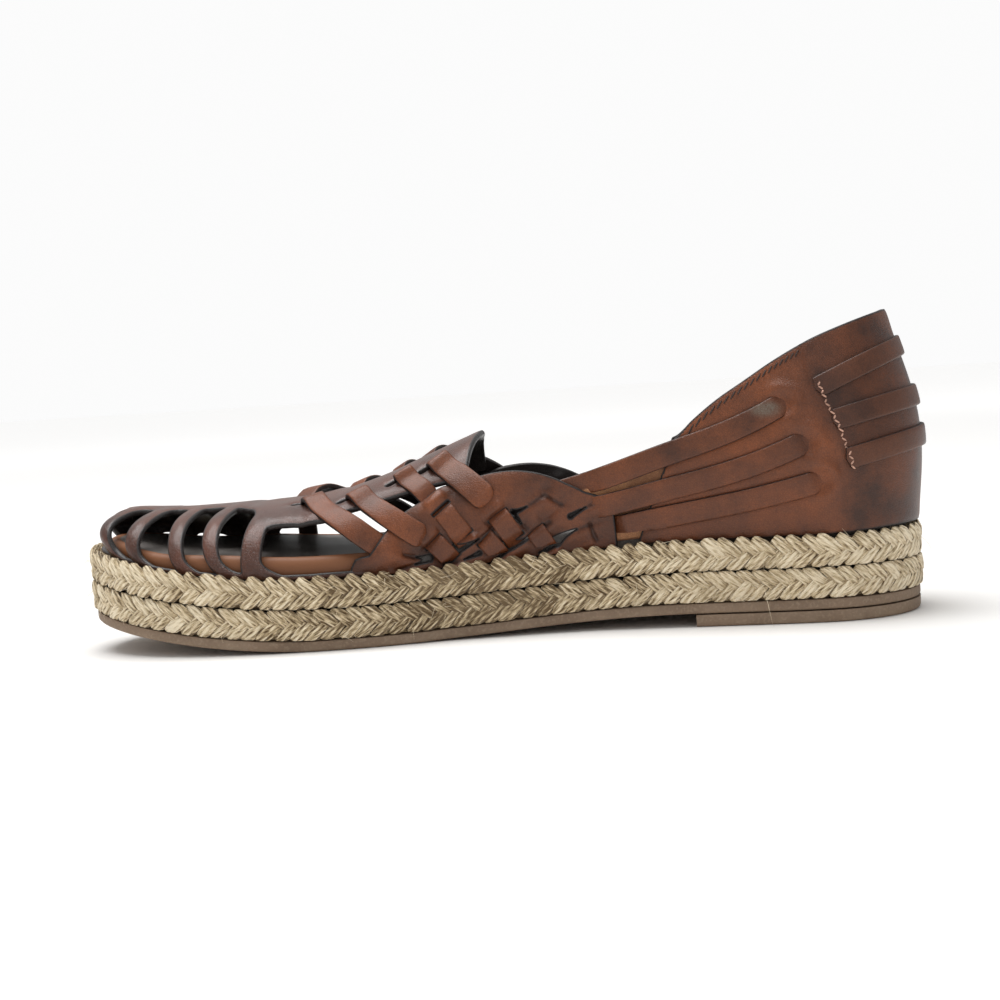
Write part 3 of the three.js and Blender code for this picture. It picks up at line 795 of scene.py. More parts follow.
@dataclass(frozen=True)
class Weave:
    """Sizes that the pieces of the woven upper share."""

    wall: float = 1.8
    raised: float = 1.2
    outer_dip: float = 0.028
    outer_quarter: float = 0.86
    outer_ahead: float = 9.0
    outer_up: float = 0.16
    short_rise: float = 0.6
    short_dive: float = 2.4
    short_start: Span = Span(0.34, -0.34)
    short_end: Span = Span(0.66, 0.34)
    turns: Span = Span(0.55, 0.45)
    arch: float = 2.2
    arch_at: float = 0.13
    arch_half: float = 0.09
    dive: float = 3.2
    dives: Span = Span(0.08, -0.08)
    tuck: float = 1.3
    tucks: Span = Span(0.93, 0.07)
    strips: tuple[Strip, ...] = STRIPS

    def strip_path(self, row: Strip, side: Side) -> Path:
        """Curve of a strip; on the outer side those from the spine start further forward and higher."""
        if side is Side.INNER or not row.from_spine:
            return row.path
        x, up = row.path.start
        start = Place(x + self.outer_ahead, up + self.outer_up)
        return Path(start, row.path.middle, row.path.end)

    def quarter_path(self, row: Path, side: Side) -> Path:
        """Curve of a quarter strap, which lies lower on the outer side."""
        share = 1.0 if side is Side.INNER else self.outer_quarter
        return Path(*(Place(place.x, place.up * share) for place in (row.start, row.middle, row.end)))

    def strip_level(self, row: Strip, t: Array) -> Array:
        """Height of a strip's face: it comes up out of its slit in a low arch, and tucks in at its end."""
        if not row.from_spine:
            buried = self.short_start.share(t) + self.short_end.share(t)
            return self.wall + self.short_rise - self.short_dive * buried
        ends = row.start + (row.end - row.start) * self.turns.share(t)
        arch = self.arch * hump(t - self.arch_at, self.arch_half)
        level = self.wall + self.raised * ends + arch - self.dive * self.dives.share(t)
        tuck = self.tuck if row.end > 0 else 0.0
        return level - tuck * self.tucks.share(t)


@dataclass(frozen=True)
class Cage:
    """Toe cage: the spine over the instep and the straps that run down from it on both sides."""

    last: Last
    weave: Weave
    throat: float = 134.0
    back: float = 128.0
    steps: tuple[int, int] = (270, 220)
    fillet: float = 4.0
    rim_up: float = 0.026
    slit: float = 1.3
    slit_ahead: float = 1.4
    slit_short: float = 0.4
    slit_places: Pair = (0.012, 0.03)
    outer_drop: float = 0.72
    outer_drops: Span = Span(190, 28)
    tip_fade: float = 1.2
    backing: float = 1.0
    backing_reach: float = 1.1
    thick: float = 2.2
    crown: float = 0.55
    crown_reach: float = 1.1
    throat_bow: float = 2.5
    rim_from: float = 160.0
    foot_spreads: float = 0.66
    tone: float = 0.45
    top_light_tone: float = 0.2
    tone_rises: Span = Span(0.3, 0.6)
    backing_shade_tone: float = 0.35
    folds: tuple[Triple, ...] = ((178, 0.06, 0.35), (189, -0.05, 0.3), (207, 0.04, 0.25))
    fold_half: float = 2.2
    ridge_ahead: float = 4.0
    ridge_half: float = 2.6
    ridge_share: float = 0.4
    spine_x: Numbers = (134, 150, 173, 182, 196, 206, 218, 231, 245, 260)
    spine_up: Numbers = (0.46, 0.5, 0.512, 0.468, 0.49, 0.8, 0.93, 0.94, 0.92, 0.84)
    straps: tuple[ToeStrap, ...] = (
        ToeStrap((256, 0.9, 253.4, 0.28, 248, 0), 4.6, 4),
        ToeStrap((238, 0.97, 242.4, 0.28, 236.5, 0), 4.4, 5),
        ToeStrap((226, 0.98, 226.8, 0.28, 221.5, 0), 4.4, 6),
        ToeStrap((213, 0.97, 215, 0.28, 207.5, 0), 4.4, 6),
        ToeStrap((199, 0.88, 201.4, 0.28, 201, 0), 5.8, 11),
    )

    def strap_level(self, row: ToeStrap, p: Array, height: Array, wide: Array) -> Array:
        """Field of one strap on both sides: at each height, the distance to its front and back edge.

        Args:
            row: The strap.
            p: Way of each grid point.
            height: Height of each grid point, counted down again past the ridge.
            wide: Length of a unit of way, in mm.

        Returns:
            Distance inside the nearer edge, in mm; the back edge swings out to the heel at the foot.
        """
        t = np.linspace(0, 1, 60)
        line, up = path_through(*row.places).places(self.last, t)
        share = np.interp(height, up[::-1], t[::-1])
        ahead = (p - np.interp(height, up[::-1], line[::-1])) * wide
        foot = row.spread * np.clip((share - self.foot_spreads) / (1 - self.foot_spreads), 0, 1) ** 2
        return np.minimum(row.width / 2 - ahead, row.width / 2 + foot + ahead)

    def slit_level(self, row: Strip, side: Side, points: Array) -> Array:
        """Field of the slit that a strip comes out of: distance from a line across its start."""
        p, up = self.weave.strip_path(row, side).places(self.last, np.array(self.slit_places))
        ends = self.last.point(p, up, side.value)
        normal = self.last.frame(p, up, side.value)[2][0]
        across = unit(np.cross(normal, ends[1] - ends[0]))
        across = across * np.sign(across[0])
        gap = points - ends[0]
        reach = np.clip(gap @ across, self.slit_short - row.width / 2, row.width / 2 + self.slit_ahead)
        return np.linalg.norm(gap - reach[..., None] * across, axis=-1) - self.slit

    def surface(self) -> Surface:
        """Cuts the cage: spine and straps flow into each other with round-cornered windows between them.

        On the outer side the upper parts of the windows are closed by leather that lies deeper. Both
        sides get the same points at the tip of the toe, where they meet.
        """
        rows, columns = self.steps
        ways = np.linspace(float(self.last.way(self.back)), 1, rows)
        p, up = np.meshgrid(ways, np.linspace(0, 2, columns + 1), indexing="ij")
        hide = Hide(self.last, p, up, 1.0, 0.0, self.thick, self.crown, self.crown_reach)
        ridge = columns // 2
        for grid in (hide.points, hide.normal, hide.tall, hide.wide):
            grid[-1, ridge + 1:] = grid[-1, ridge - 1::-1]
        height = np.minimum(up, 2 - up)
        station = self.last.station(p)
        edge = Curve(self.spine_x, self.spine_up)(station)
        tip = smooth((self.last.length - station) / self.tip_fade)
        drop = self.outer_drop * self.outer_drops.share(station) * tip
        bow = self.throat_bow * np.sin(np.pi * np.clip(height, self.spine_up[0], 1))
        throat = station - self.throat - bow
        lows = (edge, edge - np.where(up > 1, drop, 0.0))
        fields = [np.minimum((height - low) * hide.tall, throat) for low in lows]
        for row in self.straps:
            strap = self.strap_level(row, p, height, hide.wide)
            fields = [soft_max(field, strap, self.fillet) for field in fields]
        drawn, level = fields
        backed = smooth(-drawn / self.backing_reach) * smooth(height / self.rim_up - 2) * tip * (up > 1)
        level = np.maximum(level, np.minimum((self.rim_up - height) * hide.tall, station - self.rim_from))
        for side in Side:
            for row in self.weave.strips:
                if row.from_spine:
                    level = np.minimum(level, self.slit_level(row, side, hide.points))
        level = np.minimum(level, (height - LOWEST_UP) * hide.tall)
        relief = self.creases(hide.points) - self.backing * backed
        # Painted light: the straps and spine are painted lighter towards the ridge, as top light.
        # Painted shade: the backing that closes the outer windows is painted darker.
        tone = self.tone + self.top_light_tone * self.tone_rises.share(height) - self.backing_shade_tone * backed
        return hide.surface(level, relief, {"tone": tone}).welded()

    def creases(self, points: Array) -> Array:
        """Walking creases over the ball: three soft troughs across the spine, each with a ridge in front."""
        x, y = points[..., 0], points[..., 1]
        relief = np.zeros(x.shape)
        for station, slant, depth in self.folds:
            off = x - station - slant * y
            ridge = self.ridge_share * hump(off - self.ridge_ahead, self.ridge_half)
            relief = relief + depth * (ridge - hump(off, self.fold_half))
        return relief


@dataclass(frozen=True)
class Panel:
    """Side panel that carries the weave, with its hooked front foot and the slits between its strips."""

    last: Last
    side: Side
    weave: Weave
    back: float = 90.0
    front: float = 174.0
    high: float = 0.5
    steps: tuple[int, int] = (220, 108)
    outline: Pairs = (
        (93, 0.004), (93.5, 0.078), (96.7, 0.125), (101.3, 0.152), (107, 0.203),
        (110.7, 0.242), (115.7, 0.292), (121.2, 0.343), (125.9, 0.385),
        (130, 0.42), (133.1, 0.44), (138, 0.452), (143.3, 0.45), (148.3, 0.41),
        (155.4, 0.348), (160.3, 0.24), (163.5, 0.15), (165.3, 0.105),
        (167.6, 0.1), (169.4, 0.09), (170.6, 0.05), (171.3, 0.004),
    )
    slits: tuple[Strip, ...] = (
        Strip((147.6, 0.06, 151, 0.068, 155.2, 0.09), 2.2),
        Strip((147.6, 0.05, 152, 0.034, 157.2, 0.014), 1.8),
        Strip((140.4, 0.082, 135.6, 0.099, 128.6, 0.145), 3.4),
        Strip((133.4, 0.046, 138.4, 0.028, 143.6, 0.012), 1.6),
        Strip((126.0, 0.05, 119.8, 0.062, 112.2, 0.099), 3.6),
        Strip((122.6, 0.176, 119.1, 0.177, 113.8, 0.192), 2.2),
        Strip((121.8, 0.15, 120.4, 0.12, 119.0, 0.095), 1.8),
        Strip((113.4, 0.196, 110.8, 0.168, 108.2, 0.14), 0.5),
        Strip((110.6, 0.036, 106.3, 0.055, 100.6, 0.063), 3.6),
        Strip((100.2, 0.062, 99.6, 0.042, 98.8, 0.022), 0.5),
        Strip((106.0, 0.099, 101.6, 0.111, 95.2, 0.121), 1.9),
    )
    slit_least: float = 0.29
    slit_power: float = 1.5
    slit_blunt: float = 12.0
    lift: float = 1.15
    lift_half: float = 2.6
    lift_past: float = 1 / 3
    crease_in: Span = Span(-0.1, 0.2)
    crease_half: float = 0.68
    crease_depth: float = 0.78
    crease_shade: float = 0.34
    sunk: tuple[Strip, ...] = (
        Strip((120.5, 0.135, 115.6, 0.139, 110.4, 0.162), 5.6),
        Strip((109.4, 0.028, 104.4, 0.036, 99.6, 0.042), 4.6),
    )
    sunk_depth: float = 0.55
    sunk_ends: float = 12.0
    sinks: Span = Span(-0.6, 1.2)
    over_half: float = 5.5
    buried_lift: float = 1.5
    buries: Span = Span(0.8, 0.2)
    long_press: float = 0.5
    short_press: float = 0.6
    press_ends: Span = Span(0.75, 0.25)
    slot_share: float = 0.17
    slot_half: float = 0.55
    slot_side: float = 0.2
    lip: float = 0.9
    lip_ahead: float = 2.2
    lip_half: float = 1.9
    lip_side: float = 2.0
    tone: float = 0.36
    relief_shading: float = 0.16
    dip_share: float = 0.5
    dip_from: float = 0.07

    def outline_level(self, hide: Hide) -> Array:
        """Field of the panel: distance from its outline, counted up inside it and down outside."""
        dip = self.dip_share * self.weave.outer_dip if self.side is Side.OUTER else 0.0
        xs, ups = np.array(self.outline).T
        ups = ups - dip * np.sin(np.pi * (xs - xs[0]) / (xs[-1] - xs[0])) * (ups > self.dip_from)
        station = self.last.station(hide.p)
        inside = np.zeros(station.shape, bool)
        nearest = np.full(station.shape, np.inf)
        for i, k in enumerate(np.roll(np.arange(len(xs)), -1)):
            crosses = (ups[i] > hide.up) != (ups[k] > hide.up)
            rate = (xs[k] - xs[i]) / (ups[k] - ups[i] if ups[k] != ups[i] else 1e-9)
            inside ^= crosses & (station < xs[i] + rate * (hide.up - ups[i]))
            line = path_through(xs[i], ups[i], (xs[i] + xs[k]) / 2, (ups[i] + ups[k]) / 2, xs[k], ups[k])
            near = near_path(self.last, line, self.side.value, hide.points, 3)
            nearest = np.minimum(nearest, near.distance)
        return np.where(inside, nearest, -nearest)

    def tuck(self, row: Strip, near: Nearness) -> tuple[Array, Array]:
        """Slits that a strip goes in and out by, and the lips of the panel that bulge over its ends.

        Args:
            row: The strip.
            near: Grid points measured against the strip's curve.

        Returns:
            Field of both slits, in mm, and height of the lips, in mm.
        """
        p, up = row.path.places(self.last, np.linspace(0, 1, 9))
        length = np.linalg.norm(np.diff(self.last.point(p, up, self.side.value), axis=0), axis=1).sum()
        beyond = (np.abs(near.share - 0.5) - 0.5) * length
        within = np.abs(near.left) - row.width / 2
        off = beyond + self.slot_share * length
        slot = np.maximum(np.abs(off) - self.slot_half, within - self.slot_side)
        lip = self.lip * hump(off - self.lip_ahead, self.lip_half)
        return slot, lip * smooth(0.5 - within / self.lip_side)

    def surface(self) -> Surface:
        """Cuts the panel and its slits, and lifts the strip above each slit over the strip below it.

        A slit is cut open as a pocket that narrows, and runs on as a soft crease darkened with painted shade.
        """
        rows, columns = self.steps
        ends = [float(self.last.way(x)) for x in (self.back, self.front)]
        p, up = np.meshgrid(np.linspace(*ends, rows), np.linspace(0, self.high, columns), indexing="ij")
        if self.side is Side.OUTER:
            p, up = p[::-1], up[::-1]
        hide = Hide(self.last, p, up, self.side.value, 0.0, self.weave.wall)
        level = self.outline_level(hide)
        relief, shade = np.zeros(level.shape), np.zeros(level.shape)
        for row in self.slits:
            near = near_path(self.last, row.path, self.side.value, hide.points)
            half = row.width / 2 * (1 - np.clip(near.share, 0, 1)) ** self.slit_power
            past = near.share - 1 + (2 * self.slit_least / row.width) ** (1 / self.slit_power)
            level = np.minimum(level, np.maximum(near.distance - half, self.slit_blunt * past))
            crease = hump(near.distance, self.crease_half) * self.crease_in.share(past)
            relief = relief - self.crease_depth * crease
            shade = np.maximum(shade, crease)
            fade = hump(np.maximum(np.abs(near.share - 0.5) - 0.5, 0), self.lift_past)
            turn = self.side.value * np.sign(row.path.start.x - row.path.end.x)
            above = -near.left * turn / self.lift_half
            relief = relief + self.lift * fade * above * hump(above, 1.0)
        for row in self.sunk:
            near = near_path(self.last, row.path, self.side.value, hide.points)
            from_end = self.sunk_ends * (0.5 - np.abs(near.share - 0.5))
            inside = np.minimum(row.width / 2 - np.abs(near.left), from_end)
            relief = relief - self.sunk_depth * self.sinks.share(inside)
        for row in self.weave.strips:
            path = self.weave.strip_path(row, self.side)
            near = near_path(self.last, path, self.side.value, hide.points)
            over = hump(near.distance, self.over_half)
            if row.end < 0:
                relief = relief + self.buried_lift * over * self.buries.share(near.share)
            elif row.from_spine:
                relief = relief - self.long_press * over
            else:
                slot, lip = self.tuck(row, near)
                level = np.minimum(level, slot)
                middle = 1 - self.press_ends.share(np.abs(2 * near.share - 1))
                relief = relief + lip - self.short_press * over * middle
        # Painted light and shade: the tone rises with the relief, so raised strips are painted lighter and
        # sunk places darker, and the creases are painted darker as shade.
        tone = self.tone + self.relief_shading * relief - self.crease_shade * shade
        return hide.surface(one_body(level), relief, {"tone": tone})


@dataclass(frozen=True)
class Counter:
    """Counter round the heel, one sheet from the inner quarter to the outer, with a darker heel piece."""

    last: Last
    weave: Weave
    steps: tuple[int, int] = (330, 96)
    top_x: Numbers = (0, 16.2, 30.7, 42.5, 52.2, 60.9, 68.3, 74, 88)
    top_up: Numbers = (0.395, 0.37, 0.345, 0.315, 0.285, 0.258, 0.228, 0.2, 0.19)
    front_up: Numbers = (0, 0.103, 0.2, 0.4)
    front_x: Numbers = (86.6, 80.3, 74, 70)
    heel_piece_up: Numbers = (0, 0.1, 0.2, 0.27, 0.4)
    heel_piece_x: Numbers = (23, 25.5, 29, 32.5, 34)
    quarters: tuple[Path, ...] = (
        path_through(110, 0.188, 73, 0.176, 40.5, 0.231),
        path_through(111, 0.114, 71, 0.106, 35, 0.158),
        path_through(99, 0.045, 63, 0.058, 31.5, 0.088),
    )
    quarter_tuck: Pairs = ((102.5, 95.5), (103, 96), (94.5, 90))
    quarter_width: float = 6.8
    front: float = 90.0
    high: float = 0.42
    step: float = 0.45
    steps_up: Span = Span(-0.3, 0.6)
    tip_share: float = 0.975
    lip_away: float = 5.0
    lip_half: float = 1.9
    lips: Span = Span(0.9, 0.1)
    hollow: float = 0.5
    hollow_half: float = 3.2
    tone: float = 0.66
    tone_heel: float = 0.45
    heel_darkens: Span = Span(-4.5, 9)
    tone_foot: float = 0.12
    foot_darkens: Span = Span(0.12, -0.12)

    def top_line(self, p: Array) -> Array:
        """Height of the top line, which dips on the outer side."""
        station = self.last.station(p)
        along = np.clip(station / self.front_x[0], 0, 1)
        dip = np.where(p < 0, self.weave.outer_dip, 0) * np.sin(np.pi * along)
        return Curve(self.top_x, self.top_up)(station) - dip

    def surface(self) -> Surface:
        """Cuts the counter: a hollow under each quarter strap, a raised lip round its tip, a heel piece."""
        rows, columns = self.steps
        end = float(self.last.way(self.front))
        p, up = np.meshgrid(np.linspace(-end, end, rows), np.linspace(0, self.high, columns), indexing="ij")
        hide = Hide(self.last, p, up, 1.0, 0.0, self.weave.wall)
        station = self.last.station(p)
        level = (self.top_line(p) - up) * hide.tall
        level = np.minimum(level, Curve(self.front_up, self.front_x)(up) - station)
        level = np.minimum(level, (up - LOWEST_UP) * hide.tall)
        behind = Curve(self.heel_piece_up, self.heel_piece_x)(up) - station
        relief = self.step * self.steps_up.share(behind)
        for side in Side:
            for plain in self.quarters:
                row = self.weave.quarter_path(plain, side)
                near = near_path(self.last, row, side.value, hide.points)
                tip = self.last.point(*row.places(self.last, np.array([self.tip_share])), side.value)[0]
                away = np.linalg.norm(hide.points - tip, axis=-1)
                lip = hump(away - self.lip_away, self.lip_half) * self.lips.share(near.share)
                relief = relief + lip - self.hollow * np.exp(-((near.distance / self.hollow_half) ** 4))
        darker = self.tone_heel * self.heel_darkens.share(behind)
        tone = self.tone - darker - self.tone_foot * self.foot_darkens.share(up)
        return hide.surface(level, relief, {"tone": tone})


@dataclass(frozen=True)
class HeelArc:
    """Curve round the back of the heel between two fronts at the same station."""

    front: float
    up: float
    back: float

    def places(self, last: Last, t: Array) -> tuple[Array, Array]:
        """Way and height at shares t: the way runs evenly round, the height as a parabola."""
        turn = 2 * t - 1
        return float(last.way(self.front)) * turn, self.back + (self.up - self.back) * turn * turn


@dataclass(frozen=True)
class Straps:
    """Straps laid over the sheets: slanting strips, quarter straps and the straps round the heel."""

    last: Last
    weave: Weave
    counter: Counter
    heel_width: float = 6.2
    heel_level: float = 3.65
    heel_thick: float = 1.6
    heel_steps: int = 110
    heel_round: float = 0.7
    heel_tone: float = 0.3
    long_cut: Triple = (2.6, 1.6, 0.8)
    short_cut: Triple = (0.4, 1.15, 0.5)
    quarter_thick: float = 1.7
    quarter_steps: int = 90
    quarter_round: float = 3.0
    # Tone of each quarter strap, and how much painted shade its covered start takes
    quarter_looks: Pairs = ((0.34, 0.0), (0.42, 1.0), (0.46, 1.0))
    tip_sink: float = 1.7
    tip_sinks: Span = Span(0.93, 0.07)
    start_sink: float = 3.2
    pocket_shade_from: Span = Span(98.5, 2)
    scuff_at: Place = Place(46.5, 0.221)
    scuff_size: Triple = (4.5, 3.0, 2.2)
    scuff_reach: float = 1.4
    heel_arcs: tuple[tuple[str, HeelArc], ...] = (
        ("heel_strap_top", HeelArc(31, 0.247, 0.312)),
        ("heel_strap_middle", HeelArc(27.5, 0.186, 0.212)),
        ("heel_strap_bottom", HeelArc(24.5, 0.118, 0.141)),
    )

    def slanting(self, side: Side) -> Surface:
        """All slanting strips of one side; a cut is the rounding of both ends, thickness and black edge."""
        made = []
        for row in self.weave.strips:
            ends, thick, paint = self.long_cut if row.from_spine else self.short_cut
            ribbon = Ribbon(
                self.weave.strip_path(row, side), side.value, row.width, thick,
                start_round=ends, end_round=ends, paint=paint)
            made.append(ribbon.surface(self.last, partial(self.weave.strip_level, row), row.tone))
        return Surface.joined(made)

    def quarter_level(self, covered: Span, t: Array) -> Array:
        """Height of a quarter strap's face, which starts covered and whose tip sinks into the counter."""
        top = self.weave.wall + self.weave.raised
        return top - self.tip_sink * self.tip_sinks.share(t) - self.start_sink * covered.share(t)

    def quarters(self, side: Side) -> Surface:
        """The three quarter straps of one side, their tips tucked into the counter."""
        counter = self.counter
        made = []
        for row, tuck, (tone, pocket_shade) in zip(counter.quarters, counter.quarter_tuck, self.quarter_looks):
            under, clear = ((row.start.x - x) / (row.start.x - row.end.x) for x in tuck)
            ribbon = Ribbon(
                self.weave.quarter_path(row, side), side.value, counter.quarter_width, self.quarter_thick,
                steps=self.quarter_steps, end_round=self.quarter_round)
            level = partial(self.quarter_level, Span(clear, under - clear))
            strap = ribbon.surface(self.last, level, tone)
            # Painted shade: the covered starts of the lower straps are painted black, so the pockets of the
            # panel's slits look dark.
            pocket_shadow = pocket_shade * self.pocket_shade_from.share(strap.points[:, 0])
            strap.values["edge"] = np.maximum(strap.values["edge"], pocket_shadow)
            made.append(strap)
        whole = Surface.joined(made)
        way, up = self.last.way(np.array([self.scuff_at.x])), np.array([self.scuff_at.up])
        spot = self.last.wall(way, up, 1.0, np.array([self.weave.wall + self.weave.raised]))
        away = (whole.points - spot) / np.array(self.scuff_size)
        whole.values["scuff"] = smooth(self.scuff_reach - np.linalg.norm(away, axis=1))
        return whole

    def heel(self, arc: HeelArc) -> Surface:
        """One strap round the back of the heel."""
        ribbon = Ribbon(
            arc, 1.0, self.heel_width, self.heel_thick, self.heel_steps,
            start_round=self.heel_round, end_round=self.heel_round)
        return ribbon.surface(self.last, steady(self.heel_level), self.heel_tone)


@dataclass(frozen=True)
class Stay:
    """Thin stay behind the quarter straps, which closes the wall between panel and counter."""

    last: Last
    steps: tuple[int, int] = (30, 24)
    back: float = 83.0
    front: float = 96.5
    flare: float = 10.0
    low: float = 0.012
    rise: float = 0.153
    inner: float = -0.5
    outer: float = -0.03
    crown: float = 0.1
    rim_bulge: float = 0.15
    scale: float = 20.0
    trim: float = 0.2
    raw_front: Span = Span(88.5, 1.5)
    raw_foot: Span = Span(0.07, -0.02)
    tone: float = 0.3

    def surface(self, side: Side) -> Surface:
        """A strip that flares upwards, of raw leather in front and at its foot."""
        rows, columns = self.steps
        t, s = np.meshgrid(np.linspace(0, 1, rows), np.linspace(0, 1, columns), indexing="ij")
        if side is Side.OUTER:
            t, s = t[::-1], s[::-1]
        back, front = self.back - self.flare * s, self.front + self.flare * s
        x = back + (front - back) * t
        up = self.low + self.rise * s
        hide = Hide(
            self.last, self.last.way(x), up, side.value, self.inner, self.outer,
            crown=self.crown, rim_bulge=self.rim_bulge)
        raw = np.maximum(self.raw_front.share(x), self.raw_foot.share(up))
        level = self.scale * np.minimum(np.minimum(t, 1 - t), np.minimum(s, 1 - s)) - self.trim
        return hide.surface(level, 0 * x, {"tone": self.tone + (1 - self.tone) * raw})


@dataclass(frozen=True)
class Stitching:
    """Rows of stitches, each a small spindle of thread lying on the leather."""

    last: Last
    thread: float = 0.26
    rings: int = 7
    around: int = 8
    tone: float = 0.5
    collar_front: float = 70.0
    collar_places: int = 112
    collar_below: float = 0.0135
    collar_proud: float = 0.02
    collar_fill: float = 0.82
    collar_slant: float = -0.005
    heel_ups: Pair = (0.258, 0.1)
    heel_places: int = 21
    heel_x: float = 22.6
    heel_lean: float = 7.4
    heel_leans: Span = Span(0.08, 0.2)
    heel_zigzag: float = 0.6
    heel_fill: float = 0.8
    heel_proud: float = 0.5
    strap_proud: float = 0.05
    climbs: Span = Span(-0.3, 0.6)

    def spindles(self, ends: Array, normal: Array) -> Surface:
        """Spindles between pairs of points: a circle whose radius swells between two thin ends.

        Args:
            ends: Start and end of each stitch, shape (count, 2, 3).
            normal: Outward direction at each stitch.

        Returns:
            All stitches as one surface.
        """
        t = np.linspace(0, 1, self.rings)
        radius = self.thread * np.sqrt(np.maximum(1 - (2 * t - 1) ** 4, 0.02))
        angle = np.linspace(0, 2 * np.pi, self.around, endpoint=False)
        run = ends[:, 1] - ends[:, 0]
        across = unit(np.cross(normal, run))
        high = unit(np.cross(run, across))
        line = ends[:, None, 0] + run[:, None] * t[None, :, None]
        ring = across[:, None] * np.cos(angle)[:, None] + high[:, None] * np.sin(angle)[:, None]
        points = line[:, :, None] + ring[:, None] * radius[None, :, None, None]
        flat = points.reshape(-1, 3)
        return Surface(flat, tubes(points), {"tone": np.full(len(flat), self.tone)})

    def row(self, p: Array, up: Array, level: float | Array, share: float, slant: float) -> Surface:
        """Stitches along a line over the upper, one between each two places.

        Args:
            p: Way of each place.
            up: Height of each place.
            level: Height of the thread over the last, in mm.
            share: Share of each gap that a stitch fills.
            slant: Shift of a stitch's two ends across the line, in units of height.

        Returns:
            The row of stitches.
        """
        turn = np.stack([0 * p[:-1] - slant, 0 * p[:-1] + slant], 1)
        far = np.array([0.5 - share / 2, 0.5 + share / 2])
        q = p[:-1, None] + np.diff(p)[:, None] * far
        v = up[:-1, None] + np.diff(up)[:, None] * far + turn
        ends = self.last.wall(q, v, 1.0, level * np.ones(q.shape))
        return self.spindles(ends, self.last.frame(q[:, 0], v[:, 0], 1.0)[2])

    def collar(self, counter: Counter) -> Surface:
        """Dark row a little under the top line, round the heel from quarter to quarter."""
        end = float(self.last.way(self.collar_front))
        p = np.linspace(-end, end, self.collar_places)
        up = counter.top_line(p) - self.collar_below
        level = counter.weave.wall + self.collar_proud
        return self.row(p, up, level, self.collar_fill, self.collar_slant)

    def heel_fronts(self, straps: Straps) -> Surface:
        """Light zigzag down the front ends of the heel straps and the leather between, on both sides."""
        up = np.linspace(*self.heel_ups, self.heel_places)
        zigzag = self.heel_zigzag * np.where(np.arange(self.heel_places) % 2, 1, -1)
        p = self.last.way(self.heel_x + self.heel_lean * self.heel_leans.share(up) + zigzag)
        tall = np.linalg.norm(self.last.frame(p, up, 1.0)[1], axis=-1)
        plain = straps.weave.wall + self.heel_proud
        level = np.full(len(p) - 1, plain)
        for _, arc in straps.heel_arcs:
            middle = arc.back + (arc.up - arc.back) * (p / float(self.last.way(arc.front))) ** 2
            on = self.climbs.share(straps.heel_width / 2 - np.abs(up - middle) * tall)
            level = np.maximum(level, plain + (straps.heel_level + self.strap_proud - plain) * on[:-1])
        rows = [self.row(side.value * p, up, level[:, None], self.heel_fill, 0.0) for side in Side]
        return Surface.joined(rows)


class Ring(NamedTuple):
    """Ring of a sole layer: inset from the outline and height, both by station, and its edge value."""

    inset: Profile
    z: Profile
    edge: float = 0.0


def sole_stack(last: Last, rings: list[Ring], steps: int = 150, stop: float | None = None) -> Surface:
    """Closed layer of the sole: rings that follow its outline, joined up and capped at both ends.

    Args:
        last: The last.
        rings: Rings from the lowest to the highest, or on over the top towards the middle.
        steps: Points along each side.
        stop: Station where the layer ends in a straight line across, or None for the whole sole.

    Returns:
        The layer, with the value named edge.
    """
    way = 1.0 if stop is None else float(last.way(stop))
    out = np.linspace(0, way, steps + 1)
    home = out[::-1][(1 if stop is None else 0):-1]
    p = np.concatenate([out, home])
    side = np.concatenate([-np.ones(steps + 1), np.ones(len(home))])
    layers = []
    for ring in rings:
        plan = last.outline(p, side, ring.inset(last.station(p)))
        x = plan[:, 0] if stop is None else np.minimum(plan[:, 0], stop)
        layers.append(np.stack([x, plan[:, 1], ring.z(np.clip(plan[:, 0], 0, last.length))], 1))
    loop = len(p)
    i = np.arange(steps)
    a, b, c, d = i, i + 1, (loop - i - 1) % loop, np.where(i == 0, 0, loop - i)
    lid = np.concatenate([np.stack([a, b, c], 1), np.stack([a, c, d], 1)])
    walls = grid_triangles(len(rings), loop, wrap=True)
    triangles = np.concatenate([walls, lid + (len(rings) - 1) * loop, lid[:, ::-1]])
    edge = np.repeat([ring.edge for ring in rings], loop)
    return Surface(np.concatenate(layers), triangles, {"edge": edge}).welded()


def steady(value: float) -> Profile:
    """Function that gives one value at every station."""
    return lambda x: np.full_like(x, value)


def raised(base: Profile, rise: float) -> Profile:
    """Function of the station that lies over another by a fixed rise."""
    return lambda x: base(x) + rise


@dataclass(frozen=True)
class RubberSole:
    """Thin rubber sheet under the whole jute and the lift under the heel."""

    last: Last
    inset: float = 0.8
    gap: float = 0.25
    top_inset: float = 0.5
    lift_steps: int = 60
    sheet_rows: Pairs = (
        (1.6, 0.0), (0.5, 0.15), (0.12, 0.5), (0.0, 1.0), (0.0, 2.6), (0.15, 3.1))
    lift_rows: Pairs = ((1.6, 0.0), (0.6, 0.15), (0.25, 0.5), (0.05, 1.2))

    def sheet(self) -> Surface:
        """Rubber sheet with rounded lower and upper edges."""
        low, top = self.last.sheet_bottom, self.last.jute_bottom
        rings = [Ring(steady(self.inset + inset), raised(low, rise)) for inset, rise in self.sheet_rows]
        rings.append(Ring(steady(self.inset + self.top_inset), raised(top, -self.gap)))
        return sole_stack(self.last, rings)

    def lift(self) -> Surface:
        """Heel lift with a straight breast and a rounded tread edge."""
        rows = (*self.lift_rows, (0.0, self.last.heel_lift - self.gap))
        rings = [Ring(steady(self.inset + inset), steady(rise)) for inset, rise in rows]
        return sole_stack(self.last, rings, self.lift_steps, self.last.breast)


